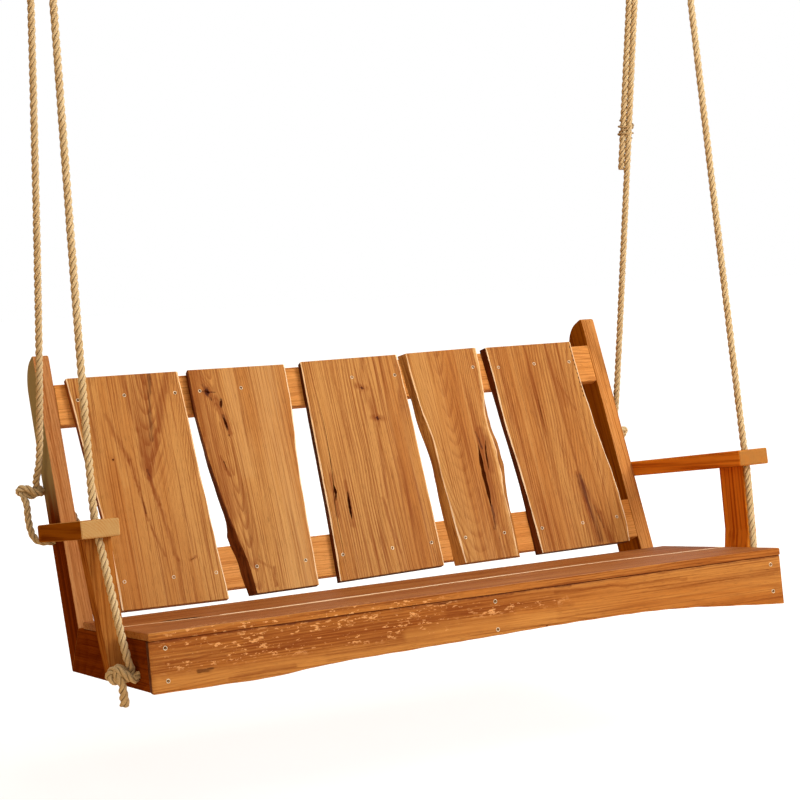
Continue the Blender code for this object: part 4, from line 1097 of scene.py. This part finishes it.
# ---- rope, twine and steel
def rope_material():
    n = new_material("hemp_rope")
    uv = n.coordinate("UV")
    yarn = n.make("TexWave", {"Vector": n.vector("MULTIPLY", uv, (9, 6, 1)), "Scale": 1.6,
                              "Distortion": 1.2, "Detail": 2},
                  "Fac", wave_type="BANDS", bands_direction="DIAGONAL")
    fibre = n.noise(n.vector("MULTIPLY", uv, (60, 26, 1)), 1, 4, 0.65)
    patch = n.noise(n.coordinate("Object"), 28, 3)
    # Darker where a strand turns in towards the rope's middle: painted shade in the grooves
    # between strands.
    inward = n.math("ABSOLUTE", n.minus(n.split(uv)[1], 0.5))
    colour = n.mix(n.level(fibre, 0.3, 0.7), (0.54, 0.355, 0.15), (0.98, 0.76, 0.42))
    colour = n.mix(n.level(patch, 0.35, 0.65, 0, 0.4), colour, (0.92, 0.76, 0.47))
    colour = n.mix(n.level(yarn, 0.35, 0, 0, 0.45), colour, (0.24, 0.14, 0.055))
    colour = n.mix(n.level(inward, 0.3, 0.21, 0, 0.85), colour, (0.19, 0.105, 0.04))
    n.set(Base_Color=colour, Roughness=0.82, Sheen_Weight=0.08, Sheen_Roughness=0.5)
    n.bump(n.fused(fibre, 0.6, yarn), 0.7, 0.0009)
    return n.mat


def twine_material():
    n = new_material("twine")
    fibre = n.noise(n.coordinate("Object"), 900, 3)
    colour = n.mix(n.level(fibre, 0.3, 0.7), (0.2, 0.115, 0.045), (0.48, 0.33, 0.16))
    n.set(Base_Color=colour, Roughness=0.85)
    n.bump(fibre, 0.6, 0.0004)
    return n.mat


def steel_material(name, tint=(0.52, 0.51, 0.49), metallic=1):
    n = new_material(name)
    patch = n.noise(n.coordinate("Object"), 160, 4)
    colour = n.mix(n.level(patch, 0.35, 0.65), tint, tuple(c * 0.62 for c in tint))
    n.set(Base_Color=colour, Roughness=n.level(patch, 0.3, 0.7, 0.28, 0.46), Metallic=metallic)
    n.bump(patch, 0.15, 0.0003)
    return n.mat


# ---- screws
SLAT_SCREWS = {
    1: [(-679, 513.5), (-567, 516.6), (-443, 513), (-645, 71), (-529, 68), (-426.5, 66.5)],
    2: [(-381, 512.5), (-276, 512), (-325.5, 69), (-203, 69.5)],
    3: [(18, 517), (135, 514), (-106, 72), (25, 73), (131, 75)],
    4: [(358, 519), (225, 77), (334, 77)],
    5: [(431, 513), (537, 515), (642, 513), (442, 77), (561, 78), (664, 83)],
}
SLAT_HEAD, APRON_HEAD = 0.0042, 0.0046  # radii
SLAT_HEAD_LIFT, APRON_HEAD_LIFT = 0.0003, 0.0004
RIM_SLOT = 1
RIM_FROM = 3  # the profile's ring where the pale rim starts


def screw_heads(name, places, radius, place):
    """Countersunk heads: a pale rim round a dark dish with a cross recess, as one piece."""
    bm = bmesh.new()
    steps = 24
    profile = [(0.2, -0.0012), (0.34, -0.0003), (0.62, -0.0002), (0.68, 0.0002),
               (0.84, 0.0004), (0.96, 0.0002), (1, -0.0004)]  # (share of radius, height)
    for x, y in metres(places):
        turn = 40 * x
        rings = []
        for reach, height in profile:
            ring = []
            for s in range(steps):
                angle = tau * s / steps
                cross = 0.55 + 0.45 * abs(cos(2 * angle)) if reach < 0.5 else 1
                r = radius * reach * cross
                ring.append(bm.verts.new((x + r * cos(angle + turn),
                                          y + r * sin(angle + turn), height)))
            rings.append(ring)
        centre = bm.verts.new((x, y, profile[0][1]))
        for s in range(steps):
            bm.faces.new((centre, rings[0][s], rings[0][(s + 1) % steps]))
        for level, (low, high) in enumerate(zip(rings, rings[1:])):
            for s in range(steps):
                t = (s + 1) % steps
                face = bm.faces.new((low[s], high[s], high[t], low[t]))
                face.material_index = RIM_SLOT if level >= RIM_FROM else 0
    bmesh.ops.recalc_face_normals(bm, faces=bm.faces)
    for face in bm.faces:
        face.smooth = True
    obj = finish_mesh(bm, name)
    obj.matrix_world = place
    return obj


APRON_SCREWS = [(-728.5, -33), (-728.5, -98), (11, -32), (11, -92.5), (734, -36), (734, -98)]


def add_screws():
    dish = steel_material("screw_dish", (0.1, 0.06, 0.035))
    rim = steel_material("screw_rim", (0.86, 0.72, 0.52), 0.4)
    face = BENCH @ back_plane(SLAT_THICK + GAP + SLAT_HEAD_LIFT)
    for slat, places in SLAT_SCREWS.items():
        heads = screw_heads(f"screws_back_slat_{slat}", places, SLAT_HEAD, face)
        hand_over(heads, (), [dish, rim])
    front = BENCH @ Matrix.Translation((0, APRON_FACE - APRON_HEAD_LIFT, 0))
    heads = screw_heads("screws_apron", APRON_SCREWS, APRON_HEAD,
                        front @ Matrix.Rotation(pi / 2, 4, "X"))
    nodes = [f"apron_screw_{k + 1}" for k in range(len(APRON_SCREWS))]
    hand_over(heads, nodes, [dish, rim])


# ---- floor and light
FLOOR_Z = -2.62
LAMPS = (  # name, place, target, size, power in watts
    ("key", (2.4, -3.8, 0.6), (0, 0, -2), 1.8, 155),
    ("front", (-0.4, -4.6, -0.6), (0, 0, -2), 2.4, 40),
    ("top", (0.6, -0.9, 1.8), (0, 0.1, -2), 2.6, 60),
    ("back", (1.9, 3.8, 0.8), (0, 0.2, -2), 2.4, 70))


def add_floor():
    """A white floor for the camera that still sends warm light up."""
    bpy.ops.mesh.primitive_plane_add(size=60, location=(0, 0, FLOOR_Z))
    floor = bpy.context.object
    floor.name = "studio_floor"
    n = new_material("studio_floor")
    place = n.coordinate("Object")
    seen = n.add("LightPath").outputs["Is Camera Ray"]
    white = n.mix(n.noise(place, 3), (0.44, 0.44, 0.44), (0.46, 0.46, 0.46))
    glow = n.level(n.vector("LENGTH", place), 0.5, 5, 0.76, 0.96)
    n.set(Base_Color=n.mix(seen, (0.85, 0.62, 0.38), white), Roughness=0.9,
          Specular_IOR_Level=0, Emission_Color=(1, 1, 0.995, 1),
          Emission_Strength=n.times(glow, seen))
    floor.data.materials.append(n.mat)


def add_world():
    """White for the camera; fill light that is warmer and weaker from the left."""
    world = bpy.data.worlds.new("studio")
    bpy.context.scene.world = world
    n = Nodes(world)
    rightward = n.split(n.coordinate("Generated"))["X"]
    fill = n.tree.nodes["Background"]
    n.wire(n.level(rightward, -0.5, 0.5, 0.42, 0.5, "LINEAR"), fill.inputs["Strength"])
    share = n.level(rightward, -0.5, 0.5, kind="LINEAR")
    n.wire(n.mix(share, (1, 0.66, 0.34), (1, 0.98, 0.95)), fill.inputs["Color"])
    backdrop = n.make("Background", {"Color": (1, 1, 1, 1)})
    seen = n.add("LightPath").outputs["Is Camera Ray"]
    shown = n.make("MixShader", {0: seen, 1: fill.outputs[0], 2: backdrop})
    n.wire(shown, n.tree.nodes["World Output"].inputs[0])


def add_lamps():
    for name, place, target, size, watts in LAMPS:
        data = bpy.data.lights.new(name, "AREA")
        data.size = size
        data.energy = watts
        data.color = (1, 0.975, 0.93)
        lamp = link(name, data)
        lamp.location = place
        aim = Vector(target) - Vector(place)
        lamp.rotation_euler = aim.to_track_quat("-Z", "Y").to_euler()
    bpy.context.scene.view_settings.view_transform = "Standard"


hemp = rope_material()
twine = twine_material()
steel = steel_material("zinc_steel")
add_ropes(hemp)
add_tails(hemp, twine)
add_slats()
add_long_boards()
paint_boards()
add_screws()
for node in ("ceiling_plate", "ceiling_eye", "ring"):
    for side in ("left", "right"):
        repaint(f"{node}_{side}", steel)
add_floor()
add_world()
add_lamps()
